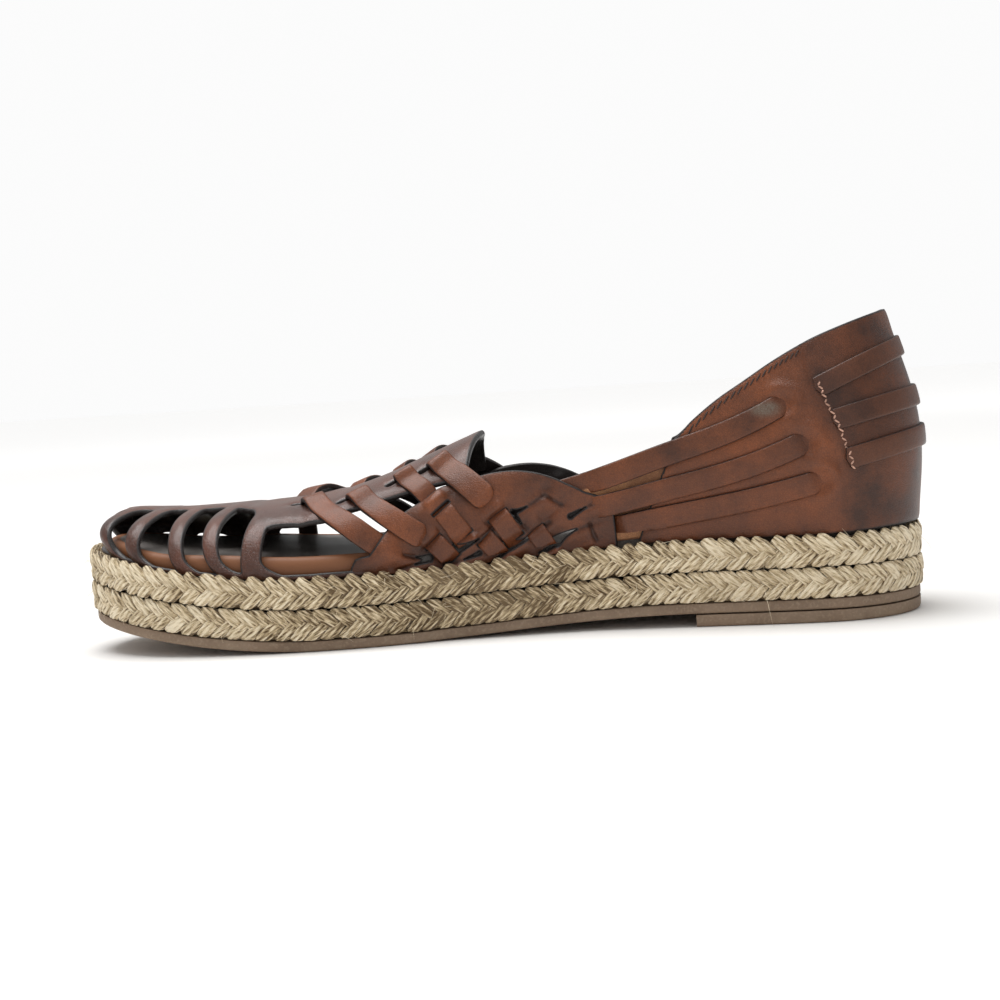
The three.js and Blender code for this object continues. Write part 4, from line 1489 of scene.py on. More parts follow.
@dataclass(frozen=True)
class Footbed:
    """Insole: a rolled leather edge round a dark cover that is dished a little towards its middle."""

    last: Last
    unshaded_from: Span = Span(160, 6)
    tone: float = 0.5
    rows: tuple[Triple, ...] = (
        (1.3, 0.04, 1.0), (1.0, 0.12, 1.0), (1.0, 0.5, 1.0), (1.25, 0.7, 1.0), (1.8, 0.86, 1.0),
        (2.6, 0.96, 1.0), (3.4, 1.0, 1.0), (4.0, 0.985, 0.9), (4.6, 0.95, 0.05), (6.0, 0.93, 0.0),
        (10.0, 0.9, 0.0), (15.0, 0.87, 0.0))

    def surface(self) -> Surface:
        """Rings up the rolled edge and on over the top: inset, share of the thickness, edge value.

        The rolled edge is painted dark behind the side panels as painted shade, and keeps its own brown where
        the toe leaves it in sight.
        """
        last = self.last
        made = sole_stack(last, [
            Ring(lambda x, inset=inset: last.feather(x) + inset,
                 lambda x, share=share: last.platform(x) + share * last.insole_thick(x), edge)
            for inset, share, edge in self.rows])
        # Painted shade: behind the side panels the edge loses its brown and takes the dark tone.
        unshaded = self.unshaded_from.share(made.points[:, 0])
        made.values["tone"] = self.tone - made.values["edge"] * (1 - unshaded)
        made.values["edge"] = made.values["edge"] * unshaded
        return made


class Course(Enum):
    """Course of the jute braid, counted from the rubber."""

    LOWER = 0
    UPPER = 1


@dataclass(frozen=True)
class JuteCourse:
    """Course of plaited jute: a core with two rows of slanting strands that meet in chevrons."""

    last: Last
    course: Course
    pitch: float = 4.9
    lean: float = 5.6
    half_width: float = 1.95
    half_depth: float = 1.1
    plies: int = 7
    along: int = 11
    around: int = 22
    seed: int = 11
    core_foot: Pair = (2.6, 0.1)
    core_rows: Pairs = ((1.9, 0.25), (2.1, 0.5), (1.9, 0.75))
    core_top: Pair = (2.8, 0.9)
    core_gap: float = 0.3
    core_inset: float = 2.9
    core_shade_tone: float = 0.12
    core_map: float = 10.0
    loop_points: int = 2400
    behind: float = -0.14
    reach: float = 1.15
    start_stray: float = 0.3
    lean_stray: float = 0.06
    bulge_stray: float = 0.16
    rise_stray: float = 0.12
    thick_stray: float = 0.07
    sunk: float = 0.25
    edge_gap: float = 0.35
    dive: float = 0.7
    dive_over: float = 0.8
    dives: Span = Span(0.66, 0.42)
    dive_power: float = 1.5
    start_dive: float = 0.95
    start_dives: Span = Span(0.1, -0.26)
    thin: float = 0.8
    swell_from: float = 0.08
    swell_over: float = 0.86
    twist: float = 0.9
    ply: float = 0.13
    lip: float = 0.7
    clear: float = 0.06
    ply_shading: float = 0.26
    side_shade: float = 0.36
    side_power: int = 6
    # Painted shade at the waist of the inner side
    waist_shade: float = 0.46
    waist_at: float = 136.0
    waist_half: float = 52.0
    waist_side: Span = Span(0, 20)
    tone: float = 0.68
    tone_stray: float = 0.1
    tone_least: float = 0.1
    end_shade: float = 0.45
    lights: Span = Span(-0.1, 0.3)
    darkens: Span = Span(1.08, -0.2)
    map_along: float = 7.0
    map_step: float = 9.0
    map_turn: float = 1.2
    map_round: float = 1.6
    hairs: int = 260
    hair_rings: int = 7
    hair_sides: int = 4
    hair_sway: float = 3.2
    hair_length: Pair = (2.2, 1.3)
    hair_away: float = 0.5
    hair_bend: float = 1.9
    hair_root: float = 0.8
    hair_rise: Pair = (0.1, 1.0)
    hair_curl: float = 1.5
    hair_drop: Pair = (-0.35, 0.5)
    hair_floor: Pair = (0.3, 0.2)
    hair_radius: float = 0.085
    hair_taper: float = 0.7
    hair_tone: float = 0.8
    hair_turn: Triple = (0.31, 0.17, 0.93)

    @property
    def tall(self) -> float:
        """Height of one course."""
        return self.last.jute / 2

    def low(self, x: Array) -> Array:
        """Underside of the course at a station."""
        return self.last.jute_bottom(x) + self.tall * self.course.value

    def core(self) -> Surface:
        """Plain body behind the strands."""
        rows = [self.core_foot] + [(inset, share * self.tall) for inset, share in self.core_rows]
        rings = [Ring(steady(inset), raised(self.low, rise)) for inset, rise in rows]
        if self.course is Course.UPPER:
            rings.append(Ring(steady(self.core_inset), self.last.platform))
        else:
            inset, share = self.core_top
            rings.append(Ring(steady(inset), raised(self.low, share * self.tall - self.core_gap)))
        made = sole_stack(self.last, rings)
        # Painted shade: the core is painted dark so that the gaps between the strands look shadowed.
        tone = np.full(len(made.points), self.core_shade_tone)
        return Surface(made.points, made.triangles, {"tone": tone}, made.points[:, [0, 2]] / self.core_map)

    def loop(self) -> tuple[Array, Array, Array]:
        """Outline of the sole once round, from the heel along the inner side.

        Returns:
            Length along the loop, plan points and outward directions, the start repeated at the end.
        """
        half = self.loop_points // 2
        p = np.concatenate([np.linspace(0, 1, half, endpoint=False), np.linspace(1, 0, half + 1)])
        side = np.concatenate([np.ones(half), -np.ones(half + 1)])
        rim = self.last.rim(p, side)
        out = unit(rim - self.last.outline(p, side, np.ones_like(p)))
        length = np.concatenate([[0], np.cumsum(np.linalg.norm(np.diff(rim, axis=0), axis=1))])
        return length, rim, out

    def spread(self, arc: Array) -> tuple[Array, Array]:
        """Plan point and outward direction at lengths along the loop, which runs on past its end."""
        length, rim, out = self.loop()
        turn = np.mod(arc, length[-1])
        place, outward = (
            np.stack([np.interp(turn, length, table[:, k]) for k in (0, 1)], -1) for table in (rim, out))
        return place, unit(outward)

    def low_under(self, points: Array) -> Array:
        """Underside of the course under points, held to the length of the sole."""
        return self.low(np.clip(points[..., 0], 0, self.last.length))

    def strand_lines(
            self, half: float, count: int, v: Array, rng: np.random.Generator) -> tuple[Array, Array]:
        """Middle lines of one row of strands.

        A strand starts behind the middle line, leans along the braid as it runs out to the edge, bulges
        between, and dives in at both ends.

        Args:
            half: 1 for the upper row, -1 for the lower.
            count: Strands in the row.
            v: Shares of the way from the middle line to the edge.
            rng: Source of the small irregularities.

        Returns:
            Points by strand and share, and the outward directions in plan.
        """
        around = self.loop()[0][-1]
        start = (np.arange(count) + (0.5 if half < 0 else 0.0)) * around / count
        start = start + rng.normal(0, self.start_stray, count)
        steep = rng.normal(1, self.lean_stray, count)
        plan, out = self.spread(start[:, None] + self.lean * v * steep[:, None])
        bulge = rng.normal(0, self.bulge_stray, count)[:, None]
        dive = self.dive_over if self.laps(half) else self.dive
        dive = dive * self.dives.share(v) ** self.dive_power + self.start_dive * self.start_dives.share(v)
        plan = plan - out * (self.half_depth - self.sunk + dive - bulge)[..., None]
        reach = self.tall / 2 - self.edge_gap
        rise = self.tall / 2 + half * reach * v + rng.normal(0, self.rise_stray, count)[:, None]
        return np.concatenate([plan, (self.low_under(plan) + rise)[..., None]], -1), out

    def laps(self, half: float) -> bool:
        """Whether a row of strands laps over the top of the whole braid."""
        return half > 0 and self.course is Course.UPPER

    def strand_row(self, half: float, rng: np.random.Generator) -> Surface:
        """One row of strands; a section is an ellipse with twisted plies.

        Args:
            half: 1 for the upper row, -1 for the lower.
            rng: Source of the small irregularities.

        Returns:
            The strands, with the value named tone and a map along and round each strand.
        """
        count = int(round(self.loop()[0][-1] / self.pitch))
        t = np.linspace(0, 1, self.along)
        angle = np.linspace(0, 2 * np.pi, self.around, endpoint=False)
        v = self.behind + self.reach * t
        line, out = self.strand_lines(half, count, v, rng)
        run = unit(np.gradient(line, axis=1))
        outward = np.concatenate([out, np.zeros_like(out[..., :1])], -1)
        across = unit(np.cross(run, outward))
        deep = unit(np.cross(across, run))
        swell = np.sin(np.pi * np.clip(self.swell_from + self.swell_over * t, 0, 1))
        thin = (self.thin + (1 - self.thin) * swell) * np.ones((count, 1))
        thick = rng.normal(1, self.thick_stray, count)[:, None] * thin
        along = t[None, :, None]
        turned = rng.uniform(0, FULL_TURN, count)[:, None, None]
        twist = angle[None, None] + self.twist * half * along + turned
        ply = 1 + self.ply * np.cos(self.plies * twist)
        wide = (self.half_width * thick)[..., None] * ply * np.cos(angle)
        high = (self.half_depth * thick)[..., None] * ply * np.sin(angle)
        points = line[:, :, None] + across[:, :, None] * wide[..., None] + deep[:, :, None] * high[..., None]
        floor = self.low_under(points)
        roof = floor + self.tall + (self.lip if self.laps(half) else -self.clear)
        points[..., 2] = np.clip(points[..., 2], floor + self.clear, roof)
        # Painted light and shade: darker in the grooves between plies and lighter on their crowns, and darker
        # on each strand's sides.
        ply_shading = self.ply_shading * np.cos(self.plies * twist)
        ply_shading = ply_shading - self.side_shade * np.abs(np.cos(angle)) ** self.side_power
        # Painted shade: the strands are painted darker at the waist of the inner side.
        waist_shade = hump(points[..., 0] - self.waist_at, self.waist_half) * self.waist_side.share(points[..., 1])
        strand = np.clip(rng.normal(self.tone, self.tone_stray, count), self.tone_least, 1)
        tone = strand[:, None, None] + ply_shading - self.waist_shade * waist_shade
        lit = (self.lights.share(v) * self.darkens.share(v))[None, :, None]
        tone = tone * (self.end_shade + (1 - self.end_shade) * lit)
        far = np.broadcast_to(self.map_along * along, twist.shape)
        far = far + self.map_step * np.arange(count)[:, None, None]
        uv = np.stack([far, (twist - half * self.map_turn * along) * self.map_round], -1)
        values = {"tone": tone.reshape(-1)}
        return Surface(points.reshape(-1, 3), tubes(points, flip=True), values, uv.reshape(-1, 2))

    def loose_hairs(self, rng: np.random.Generator) -> Surface:
        """Fine fibres that stand off the edge of the braid: arcs that leave outwards and droop."""
        t = np.linspace(0, 1, self.hair_rings)
        angle = np.linspace(0, 2 * np.pi, self.hair_sides, endpoint=False)
        root = rng.uniform(0, self.loop()[0][-1], self.hairs)[:, None]
        plan, out = self.spread(root + rng.normal(0, self.hair_sway, self.hairs)[:, None] * t)
        length = rng.gamma(*self.hair_length, self.hairs)[:, None]
        away = self.hair_away * length * np.sin(self.hair_bend * t) - self.hair_root
        plan = plan + out * away[..., None]
        rise = rng.uniform(*self.hair_rise, self.hairs)[:, None] * self.tall
        drop = rng.normal(*self.hair_drop, self.hairs)[:, None] * length * t**self.hair_curl
        least, lift = self.hair_floor
        height = np.maximum(self.low_under(plan) + rise + drop, least + lift * t)
        line = np.concatenate([plan, height[..., None]], -1)
        run = unit(np.gradient(line, axis=1))
        across = unit(np.cross(run, np.array(self.hair_turn)))
        high = np.cross(run, across)
        slim = self.hair_radius * (1 - self.hair_taper * t)[None, :, None, None]
        ring = across[:, :, None] * np.cos(angle)[:, None] + high[:, :, None] * np.sin(angle)[:, None]
        points = line[:, :, None] + ring * slim
        flat = points.reshape(-1, 3)
        return Surface(flat, tubes(points), {"tone": np.full(len(flat), self.hair_tone)}, flat[:, [0, 2]])

    def surface(self) -> Surface:
        """Core, strands and hairs as one piece."""
        rng = np.random.default_rng(self.seed + self.course.value)
        rows = [self.strand_row(half, rng) for half in (1.0, -1.0)]
        return Surface.joined([self.core(), *rows, self.loose_hairs(rng)])


Colour = tuple[float, float, float, float]
WHITE = (1.0, 1.0, 1.0, 1.0)


def srgb(red: int, green: int, blue: int) -> Colour:
    """Linear colour of a screen colour given in steps of 0 to 255."""
    share = np.array([red, green, blue]) / 255
    linear = np.where(share <= 0.04045, share / 12.92, ((share + 0.055) / 1.055) ** 2.4)
    return (*(float(value) for value in linear), 1.0)


class NodeDesk:
    """Short way to lay out nodes and links in one node tree."""

    def __init__(self, tree: NodeTree) -> None:
        """Takes the tree and empties it."""
        self.tree = tree
        tree.nodes.clear()

    def feed(self, node: Node, inputs: dict) -> None:
        """Links sockets to a node's inputs, by name or number, and sets plain values there."""
        for name, value in inputs.items():
            if isinstance(value, Socket):
                self.tree.links.new(value, node.inputs[name])
            else:
                node.inputs[name].default_value = value

    def add(self, kind: str, inputs: dict | None = None, **settings: object) -> Node:
        """Adds a node.

        Args:
            kind: Node type.
            inputs: Sockets of other nodes or plain values, by the name or number of this node's input.
            settings: Properties of the node.

        Returns:
            The node.
        """
        node = self.tree.nodes.new(kind)
        for name, value in settings.items():
            setattr(node, name, value)
        self.feed(node, inputs or {})
        return node

    def place(self) -> Socket:
        """Output of the place on the object, in metres."""
        return self.add("ShaderNodeTexCoord").outputs["Object"]

    def carried(self, name: str) -> Socket:
        """Output of a value that the mesh carries at its points."""
        return self.add("ShaderNodeAttribute", attribute_name=name).outputs["Fac"]

    def math(self, operation: str, a: object, b: object, clamp: bool = False) -> Socket:
        """Output of a math node on two sockets or numbers."""
        return self.add("ShaderNodeMath", {0: a, 1: b}, operation=operation, use_clamp=clamp).outputs[0]

    def blend(self, share: object, a: object, b: object, kind: str = "MIX") -> Socket:
        """Output of a colour mix; the share may be a number or a socket, the colours too."""
        node = self.add("ShaderNodeMix", {0: share, 6: a, 7: b}, data_type="RGBA", blend_type=kind)
        return node.outputs[2]

    def ramp(self, value: Socket, low: float, high: float, start: float = 0.0, end: float = 1.0) -> Socket:
        """Output of a range from low..high to start..end, held at both ends."""
        inputs = {0: value, 1: low, 2: high, 3: start, 4: end}
        return self.add("ShaderNodeMapRange", inputs, clamp=True).outputs[0]

    def noise(self, where: Socket, scale: object, detail: float, roughness: float = 0.5) -> Socket:
        """Output of a noise texture."""
        inputs = {"Vector": where, "Scale": scale, "Detail": detail, "Roughness": roughness}
        return self.add("ShaderNodeTexNoise", inputs).outputs[0]

    def bump(self, height: Socket, strength: float, distance: float) -> Socket:
        """Output of a bump, for the normal of a shader; the distance is in metres."""
        inputs = {"Height": height, "Strength": strength, "Distance": distance}
        return self.add("ShaderNodeBump", inputs).outputs[0]

    def group(self, tree: NodeTree, inputs: dict) -> Node:
        """Adds a node that runs a shared node group."""
        return self.add("ShaderNodeGroup", inputs, node_tree=tree)

    def finish(self, inputs: dict) -> None:
        """Ends a material with a Principled shader and the output."""
        shader = self.add("ShaderNodeBsdfPrincipled", inputs)
        self.add("ShaderNodeOutputMaterial", {"Surface": shader.outputs[0]})


def new_group(
        name: str, inputs: list[str], outputs: list[str]) -> tuple[NodeDesk, Node, Node]:
    """Starts a shader node group that takes a place and numbers and gives numbers.

    Args:
        name: Name of the group.
        inputs: Names of the numbers that it takes after the place, which is called Vector.
        outputs: Names of the numbers that it gives.

    Returns:
        The desk of the group's tree, its input node and its output node.
    """
    tree = bpy.data.node_groups.new(name, "ShaderNodeTree")
    tree.interface.new_socket(name="Vector", in_out="INPUT", socket_type="NodeSocketVector")
    for in_out, labels in (("INPUT", inputs), ("OUTPUT", outputs)):
        for label in labels:
            tree.interface.new_socket(name=label, in_out=in_out, socket_type="NodeSocketFloat")
    desk = NodeDesk(tree)
    return desk, desk.add("NodeGroupInput"), desk.add("NodeGroupOutput")


def grain_group() -> NodeTree:
    """Leather grain: pebbles from cell edges, fine pores from noise, and a slow mottle of the dye."""
    desk, start, end = new_group("leather_grain", ["Scale"], ["Height", "Mottle"])
    where, scale = start.outputs["Vector"], start.outputs["Scale"]
    cells = desk.add("ShaderNodeTexVoronoi", {"Vector": where, "Scale": scale}, feature="DISTANCE_TO_EDGE")
    pores = desk.noise(where, desk.math("MULTIPLY", scale, 0.6), 5.0, 0.6)
    slow = desk.noise(where, desk.math("MULTIPLY", scale, 0.045), 4.0, 0.55)
    pebble = desk.ramp(cells.outputs["Distance"], 0.0, 0.25)
    height = desk.math("ADD", desk.math("MULTIPLY", pebble, 0.35), desk.math("MULTIPLY", pores, 0.65))
    desk.feed(end, {"Height": height, "Mottle": desk.ramp(slow, 0.3, 0.7)})
    return desk.tree


def wear_group() -> NodeTree:
    """Edge wear: the painted edge, its border broken up by noise."""
    desk, start, end = new_group("edge_wear", ["Edge", "Break"], ["Mask"])
    noise = desk.noise(start.outputs["Vector"], 900.0, 3.0)
    rough = desk.math("MULTIPLY", desk.math("SUBTRACT", noise, 0.5), start.outputs["Break"])
    desk.feed(end, {"Mask": desk.ramp(desk.math("ADD", start.outputs["Edge"], rough), 0.28, 0.72)})
    return desk.tree


def dust_group() -> NodeTree:
    """Dust: patches of noise, thicker towards the floor."""
    desk, start, end = new_group("dust", ["Height"], ["Mask"])
    where = start.outputs["Vector"]
    patches = desk.noise(where, 60.0, 6.0, 0.7)
    level = desk.add("ShaderNodeSeparateXYZ", {0: where}).outputs[2]
    low = desk.math("SUBTRACT", 1.0, desk.math("DIVIDE", level, start.outputs["Height"]), clamp=True)
    desk.feed(end, {"Mask": desk.math("MULTIPLY", desk.ramp(patches, 0.45, 0.75), low)})
    return desk.tree


@dataclass(frozen=True)
class Effects:
    """Node groups that several finishes share."""

    grain: NodeTree
    wear: NodeTree
    dust: NodeTree

    @classmethod
    def build(cls) -> "Effects":
        """Builds each group once."""
        return cls(grain_group(), wear_group(), dust_group())


def new_material(name: str) -> tuple[Material, NodeDesk]:
    """A new material and the desk of its node tree."""
    material = bpy.data.materials.new(name)
    material.use_nodes = True
    return material, NodeDesk(material.node_tree)


@dataclass(frozen=True)
class Leather:
    """Dyed leather: two tones by the piece's tone and a mottle, dark painted edges, grain and a scuff."""

    name: str
    light: Colour
    dark: Colour
    paint: Colour
    roughness: float
    coat: float
    grain: float = 1500.0
    relief: float = 0.12
    rubbed: Colour = srgb(108, 98, 86)
    mottling: float = 0.7
    paint_break: float = 0.5
    paint_roughness: float = 0.12
    coat_roughness: float = 0.28
    specular: float = 0.32
    bump: float = 0.0006

    def material(self, effects: Effects) -> Material:
        """Builds the material."""
        material, desk = new_material(self.name)
        where = desk.place()
        grain = desk.group(effects.grain, {"Vector": where, "Scale": self.grain})
        height, mottle = grain.outputs["Height"], grain.outputs["Mottle"]
        wear = desk.group(
            effects.wear, {"Vector": where, "Edge": desk.carried("edge"), "Break": self.paint_break})
        painted = wear.outputs["Mask"]
        spread = desk.math("MULTIPLY", desk.math("SUBTRACT", mottle, 0.5), self.mottling)
        # The piece's tone gives its dye and, on the cage, panel and footbed, painted light and shade.
        dye_and_shading = desk.blend(desk.math("ADD", desk.carried("tone"), spread, clamp=True), self.dark, self.light)
        pores = desk.ramp(height, 0.25, 0.6, 0.72, 1.06)
        grey = desk.add("ShaderNodeCombineColor", {0: pores, 1: pores, 2: pores}).outputs[0]
        dye_and_shading = desk.blend(1.0, dye_and_shading, grey, "MULTIPLY")
        scuff = desk.math("MULTIPLY", desk.carried("scuff"), desk.ramp(height, 0.3, 0.55, 0.35, 0.85))
        dye_and_shading = desk.blend(scuff, dye_and_shading, self.rubbed)
        rough = desk.ramp(mottle, 0.0, 1.0, self.roughness - 0.06, self.roughness + 0.08)
        desk.finish({
            "Base Color": desk.blend(painted, dye_and_shading, self.paint),
            "Roughness": desk.math("ADD", rough, desk.math("MULTIPLY", painted, self.paint_roughness)),
            "Normal": desk.bump(height, self.relief, self.bump), "Specular IOR Level": self.specular,
            "Coat Weight": self.coat, "Coat Roughness": self.coat_roughness})
        return material


@dataclass(frozen=True)
class Jute:
    """Plaited jute: straw colour by strand, fine fibres along each strand, dull."""

    name: str = "jute_braid"
    light: Colour = srgb(252, 237, 208)
    middle: Colour = srgb(206, 184, 146)
    dark: Colour = srgb(92, 71, 45)
    dull: Colour = srgb(176, 154, 120)
    dusty: Colour = srgb(140, 122, 96)
    dust_height: float = 0.016
    fibre_scale: Triple = (0.14, 0.9, 1.0)

    def material(self, effects: Effects) -> Material:
        """Builds the material; the fibres are noise stretched along the strand's own map."""
        material, desk = new_material(self.name)
        along = desk.add("ShaderNodeUVMap", uv_map="UVMap").outputs[0]
        where = desk.place()
        turned = desk.add("ShaderNodeMapping", {0: along, "Scale": self.fibre_scale}).outputs[0]
        fibre = desk.noise(turned, 2.2, 4.0, 0.65)
        fuzz = desk.noise(where, 1400.0, 3.0)
        patch = desk.noise(where, 45.0, 3.0)
        # The fibre streaks are partly the fibres' own colour and partly painted highlights along them; the
        # strand's tone also brings in its painted shade.
        share = desk.math("ADD", desk.ramp(fibre, 0.34, 0.66, -0.42, 0.42), desk.carried("tone"), clamp=True)
        straw = desk.blend(desk.ramp(share, 0.05, 0.5), self.dark, self.middle)
        straw = desk.blend(desk.ramp(share, 0.45, 0.95), straw, self.light)
        straw = desk.blend(desk.ramp(patch, 0.45, 0.75, 0.0, 0.3), straw, self.dull)
        dust = desk.group(effects.dust, {"Vector": where, "Height": self.dust_height}).outputs[0]
        height = desk.math("ADD", fibre, desk.math("MULTIPLY", fuzz, 0.35))
        desk.finish({
            "Base Color": desk.blend(desk.math("MULTIPLY", dust, 0.5), straw, self.dusty),
            "Roughness": desk.ramp(fibre, 0.3, 0.7, 0.85, 0.6), "Normal": desk.bump(height, 0.9, 0.001),
            "Specular IOR Level": 0.25, "Sheen Weight": 0.15})
        return material


@dataclass(frozen=True)
class Rubber:
    """Crepe coloured rubber: darker patches, a fine pale speckle, dust near the floor."""

    name: str = "sole_rubber"
    base: Colour = srgb(134, 113, 94)
    pale: Colour = srgb(166, 148, 127)
    deep: Colour = srgb(104, 87, 72)
    dust_height: float = 0.012
    drawn_scale: Triple = (40.0, 40.0, 900.0)

    def material(self, effects: Effects) -> Material:
        """Builds the material."""
        material, desk = new_material(self.name)
        where = desk.place()
        speck = desk.noise(where, 1100.0, 4.0)
        patch = desk.noise(where, 38.0, 5.0)
        drawn = desk.add("ShaderNodeMapping", {0: where, "Scale": self.drawn_scale}).outputs[0]
        lines = desk.noise(drawn, 1.0, 3.0)
        dust = desk.group(effects.dust, {"Vector": where, "Height": self.dust_height}).outputs[0]
        colour = desk.blend(desk.ramp(patch, 0.35, 0.7, 0.0, 0.6), self.base, self.deep)
        colour = desk.blend(desk.ramp(speck, 0.5, 0.75, 0.0, 0.5), colour, self.pale)
        height = desk.math("ADD", speck, desk.math("MULTIPLY", lines, 0.8))
        desk.finish({
            "Base Color": desk.blend(desk.math("MULTIPLY", dust, 0.55), colour, self.pale),
            "Roughness": desk.ramp(patch, 0.3, 0.7, 0.62, 0.82), "Normal": desk.bump(height, 0.25, 0.0006),
            "Specular IOR Level": 0.35})
        return material


@dataclass(frozen=True)
class Thread:
    """Waxed thread of one colour with darker flecks."""

    name: str
    colour: Colour
    shade: float = 0.6
    roughness: float = 0.6

    def material(self, effects: Effects) -> Material:
        """Builds the material."""
        material, desk = new_material(self.name)
        wear = desk.group(effects.wear, {"Vector": desk.place(), "Edge": 0.45, "Break": 1.0})
        shade = tuple(self.shade * value for value in self.colour[:3]) + (1.0,)
        desk.finish({
            "Base Color": desk.blend(wear.outputs[0], self.colour, shade), "Roughness": self.roughness})
        return material


BLACK_EDGE = srgb(34, 27, 25)
FINISHES = {
    "upper": Leather(
        "upper_leather", srgb(132, 72, 38), srgb(62, 33, 19), BLACK_EDGE, 0.43, 0.18, relief=0.34),
    "toe": Leather("toe_leather", srgb(106, 57, 35), srgb(54, 30, 20), BLACK_EDGE, 0.34, 0.5, relief=0.6),
    "stay": Leather("stay_leather", srgb(184, 128, 88), srgb(98, 58, 36), srgb(120, 82, 58), 0.55, 0.05),
    "heel": Leather(
        "heel_strap_leather", srgb(112, 64, 38), srgb(68, 38, 24), srgb(48, 36, 32), 0.45, 0.16, relief=0.22),
    "footbed": Leather(
        "footbed_leather", srgb(122, 116, 112), srgb(94, 89, 85), srgb(128, 82, 52), 0.5, 0.15, 1300.0, 0.1),
    "jute": Jute(),
    "rubber": Rubber(),
    "collar_thread": Thread("collar_thread", srgb(58, 38, 30)),
    "heel_thread": Thread("heel_thread", srgb(206, 160, 138)),
}


class Lamp(NamedTuple):
    """Square soft light: name, place and edge in metres, power in watts."""

    name: str
    at: Triple
    size: float
    watts: float


@dataclass(frozen=True)
class Studio:
    """Pale floor, soft light and a camera at the angle that the shoe is seen from."""

    placement: Placement
    eye: Triple = (66.26, 575.37, 80.56)
    aim: Triple = (129.0, 8.0, 40.0)
    roll_deg: float = 3.54
    lens: float = 66.0
    sensor: float = 36.0
    lamps: tuple[Lamp, ...] = (
        Lamp("key", (0.2, -0.1, 1.2), 1.0, 17.0), Lamp("fill", (-0.4, 1.3, 0.5), 1.3, 2.0))
    lamp_aim: Triple = (0, 0, 0.04)
    ambient: float = 0.48
    backdrop: float = 0.97
    floor_size: float = 12.0
    floor_colour: Colour = srgb(244, 243, 241)
    glow: float = 0.52
    glow_reach: Pair = (0.45, 1.9)

    def camera(self) -> None:
        """Camera on the eye, turned to the aim and rolled about its own axis."""
        data = bpy.data.cameras.new("camera")
        data.lens = self.lens
        data.sensor_width = self.sensor
        data.clip_start, data.clip_end = 0.01, 100.0
        camera = bpy.data.objects.new("camera", data)
        bpy.context.scene.collection.objects.link(camera)
        eye, aim = (Vector(self.placement.metres(np.array(at))) for at in (self.eye, self.aim))
        forward = (aim - eye).normalized()
        right = forward.cross(Vector((0, 0, 1))).normalized()
        top = right.cross(forward)
        c, s = math.cos(math.radians(self.roll_deg)), math.sin(math.radians(self.roll_deg))
        axes = Matrix((c * right - s * top, s * right + c * top, -forward)).transposed().to_4x4()
        camera.matrix_world = Matrix.Translation(eye) @ axes
        bpy.context.scene.camera = camera

    def light(self, lamp: Lamp) -> None:
        """Square soft light that looks at the middle of the shoe."""
        data = bpy.data.lights.new(lamp.name, "AREA")
        data.size = lamp.size
        data.energy = lamp.watts
        made = bpy.data.objects.new(lamp.name, data)
        bpy.context.scene.collection.objects.link(made)
        made.location = lamp.at
        made.rotation_euler = (Vector(self.lamp_aim) - Vector(lamp.at)).to_track_quat("-Z", "Y").to_euler()

    def floor(self) -> None:
        """Wide pale floor under the sole, which glows far off so that it meets the white surroundings."""
        half = self.floor_size / 2 / MM
        points = np.array([[-half, -half, 0], [half, -half, 0], [half, half, 0], [-half, half, 0]], float)
        made = Surface(points, np.array([[0, 1, 2], [0, 2, 3]])).to_object("floor", Placement((0, 0, 0)))
        material, desk = new_material("pale_floor")
        where = desk.place()
        far = desk.add("ShaderNodeVectorMath", {0: where}, operation="LENGTH").outputs["Value"]
        desk.finish({
            "Base Color": self.floor_colour, "Specular IOR Level": 0.2,
            "Roughness": desk.ramp(desk.noise(where, 3.0, 2.0), 0.3, 0.7, 0.7, 0.8),
            "Emission Color": WHITE, "Emission Strength": desk.ramp(far, *self.glow_reach, 0.0, self.glow)})
        made.data.materials.append(material)
        made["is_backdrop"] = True

    def world(self) -> None:
        """White surroundings that light the shoe softly and look as bright as the floor."""
        world = bpy.data.worlds.new("studio")
        world.use_nodes = True
        desk = NodeDesk(world.node_tree)
        seen = desk.add("ShaderNodeLightPath").outputs["Is Camera Ray"]
        strength = desk.ramp(seen, 0.0, 1.0, self.ambient, self.backdrop)
        back = desk.add("ShaderNodeBackground", {"Strength": strength, "Color": WHITE})
        desk.add("ShaderNodeOutputWorld", {"Surface": back.outputs[0]})
        bpy.context.scene.world = world

    def build(self) -> None:
        """Sets floor, lights, world and camera."""
        self.floor()
        for lamp in self.lamps:
            self.light(lamp)
        self.world()
        bpy.context.scene.view_settings.view_transform = "Standard"
        self.camera()


class Piece(NamedTuple):
    """Finished piece: name, surface, the part's node that it stands for, material slot and finish."""

    name: str
    surface: Surface
    node: str = "upper"
    slot: str = "upper_leather"
    finish: str = "upper"


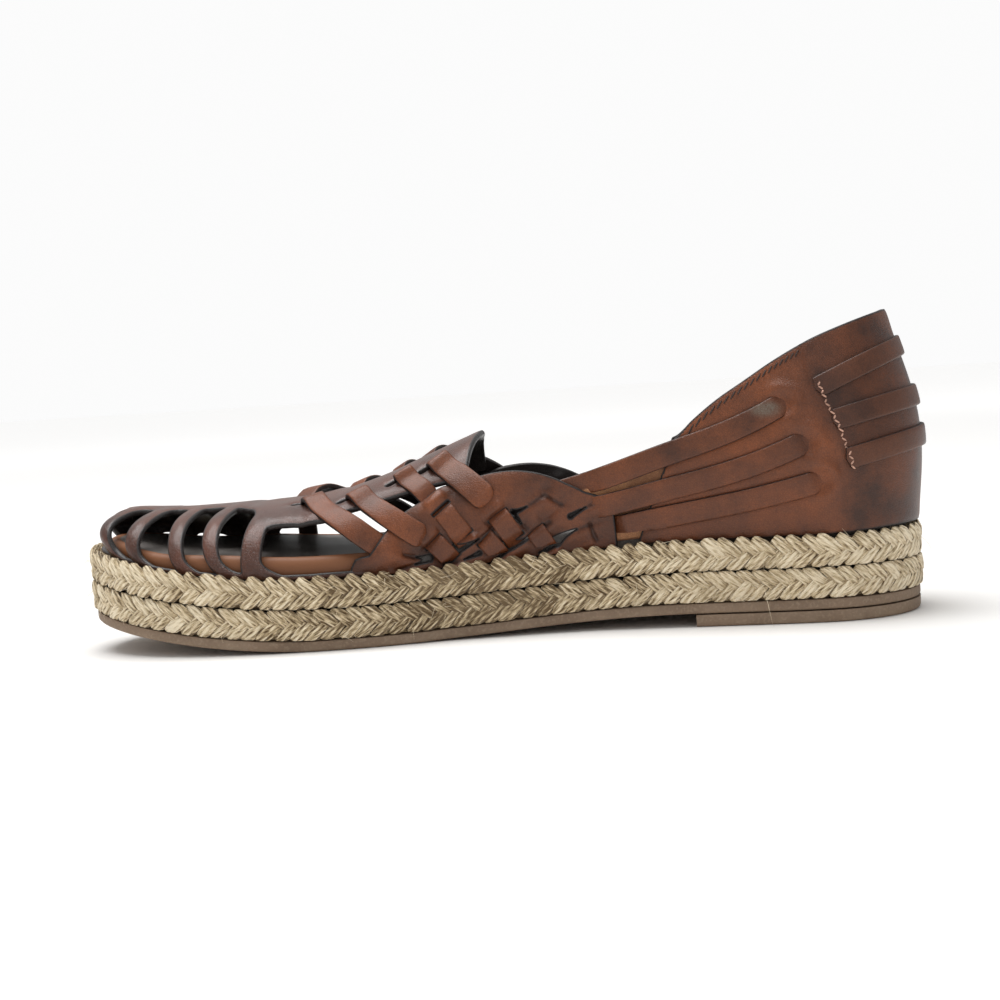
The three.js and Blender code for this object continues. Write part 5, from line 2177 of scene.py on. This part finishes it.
def shoe_pieces(last: Last) -> list[Piece]:
    """Builds every piece of the shoe, from the floor up."""
    weave = Weave()
    counter = Counter(last, weave)
    straps = Straps(last, weave, counter)
    rubber = RubberSole(last)
    stitching = Stitching(last)
    pieces = [
        Piece("rubber_sheet", rubber.sheet(), "outsole", "rubber", "rubber"),
        Piece("rubber_heel_lift", rubber.lift(), "heel_lift", "rubber", "rubber"),
    ]
    for course in Course:
        name = f"jute_midsole_{course.name.lower()}"
        pieces.append(Piece(f"{name}_braid", JuteCourse(last, course).surface(), name, "jute", "jute"))
    pieces.append(Piece("footbed", Footbed(last).surface(), "insole", "footbed_leather", "footbed"))
    pieces.append(Piece("toe_cage", Cage(last, weave).surface(), finish="toe"))
    pieces.append(Piece("heel_counter", counter.surface()))
    for side in Side:
        label = side.name.lower()
        pieces += [
            Piece(f"weave_panel_{label}", Panel(last, side, weave).surface()),
            Piece(f"weave_strips_{label}", straps.slanting(side)),
            Piece(f"quarter_straps_{label}", straps.quarters(side)),
            Piece(f"quarter_stay_{label}", Stay(last).surface(side), finish="stay"),
        ]
    for name, arc in straps.heel_arcs:
        pieces.append(Piece(f"{name}_leather", straps.heel(arc), name, "strap_leather", "heel"))
    pieces.append(Piece("collar_stitches", stitching.collar(counter), finish="collar_thread"))
    pieces.append(Piece("heel_stitches", stitching.heel_fronts(straps), finish="heel_thread"))
    return pieces


def main() -> None:
    """Builds the shoe and its studio, dresses each piece and reports it."""
    logging.basicConfig(level=logging.INFO, format="%(message)s")
    last = Last()
    placement = Placement.on_frame(last)
    effects = Effects.build()
    materials = {name: finish.material(effects) for name, finish in FINISHES.items()}
    for piece in shoe_pieces(last):
        made = piece.surface.to_object(piece.name, placement)
        made.data.materials.append(materials[piece.finish])
        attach(made, "root")
        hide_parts(piece.node)
        LOG.info("%s: %d triangles", piece.name, len(piece.surface.triangles))
    Studio(placement).build()
    boxes = {"cad": CAD_BOX, "visual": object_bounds()}
    {name: [list(corner) for corner in box] for name, box in boxes.items()}


if __name__ == "__main__":
    main()
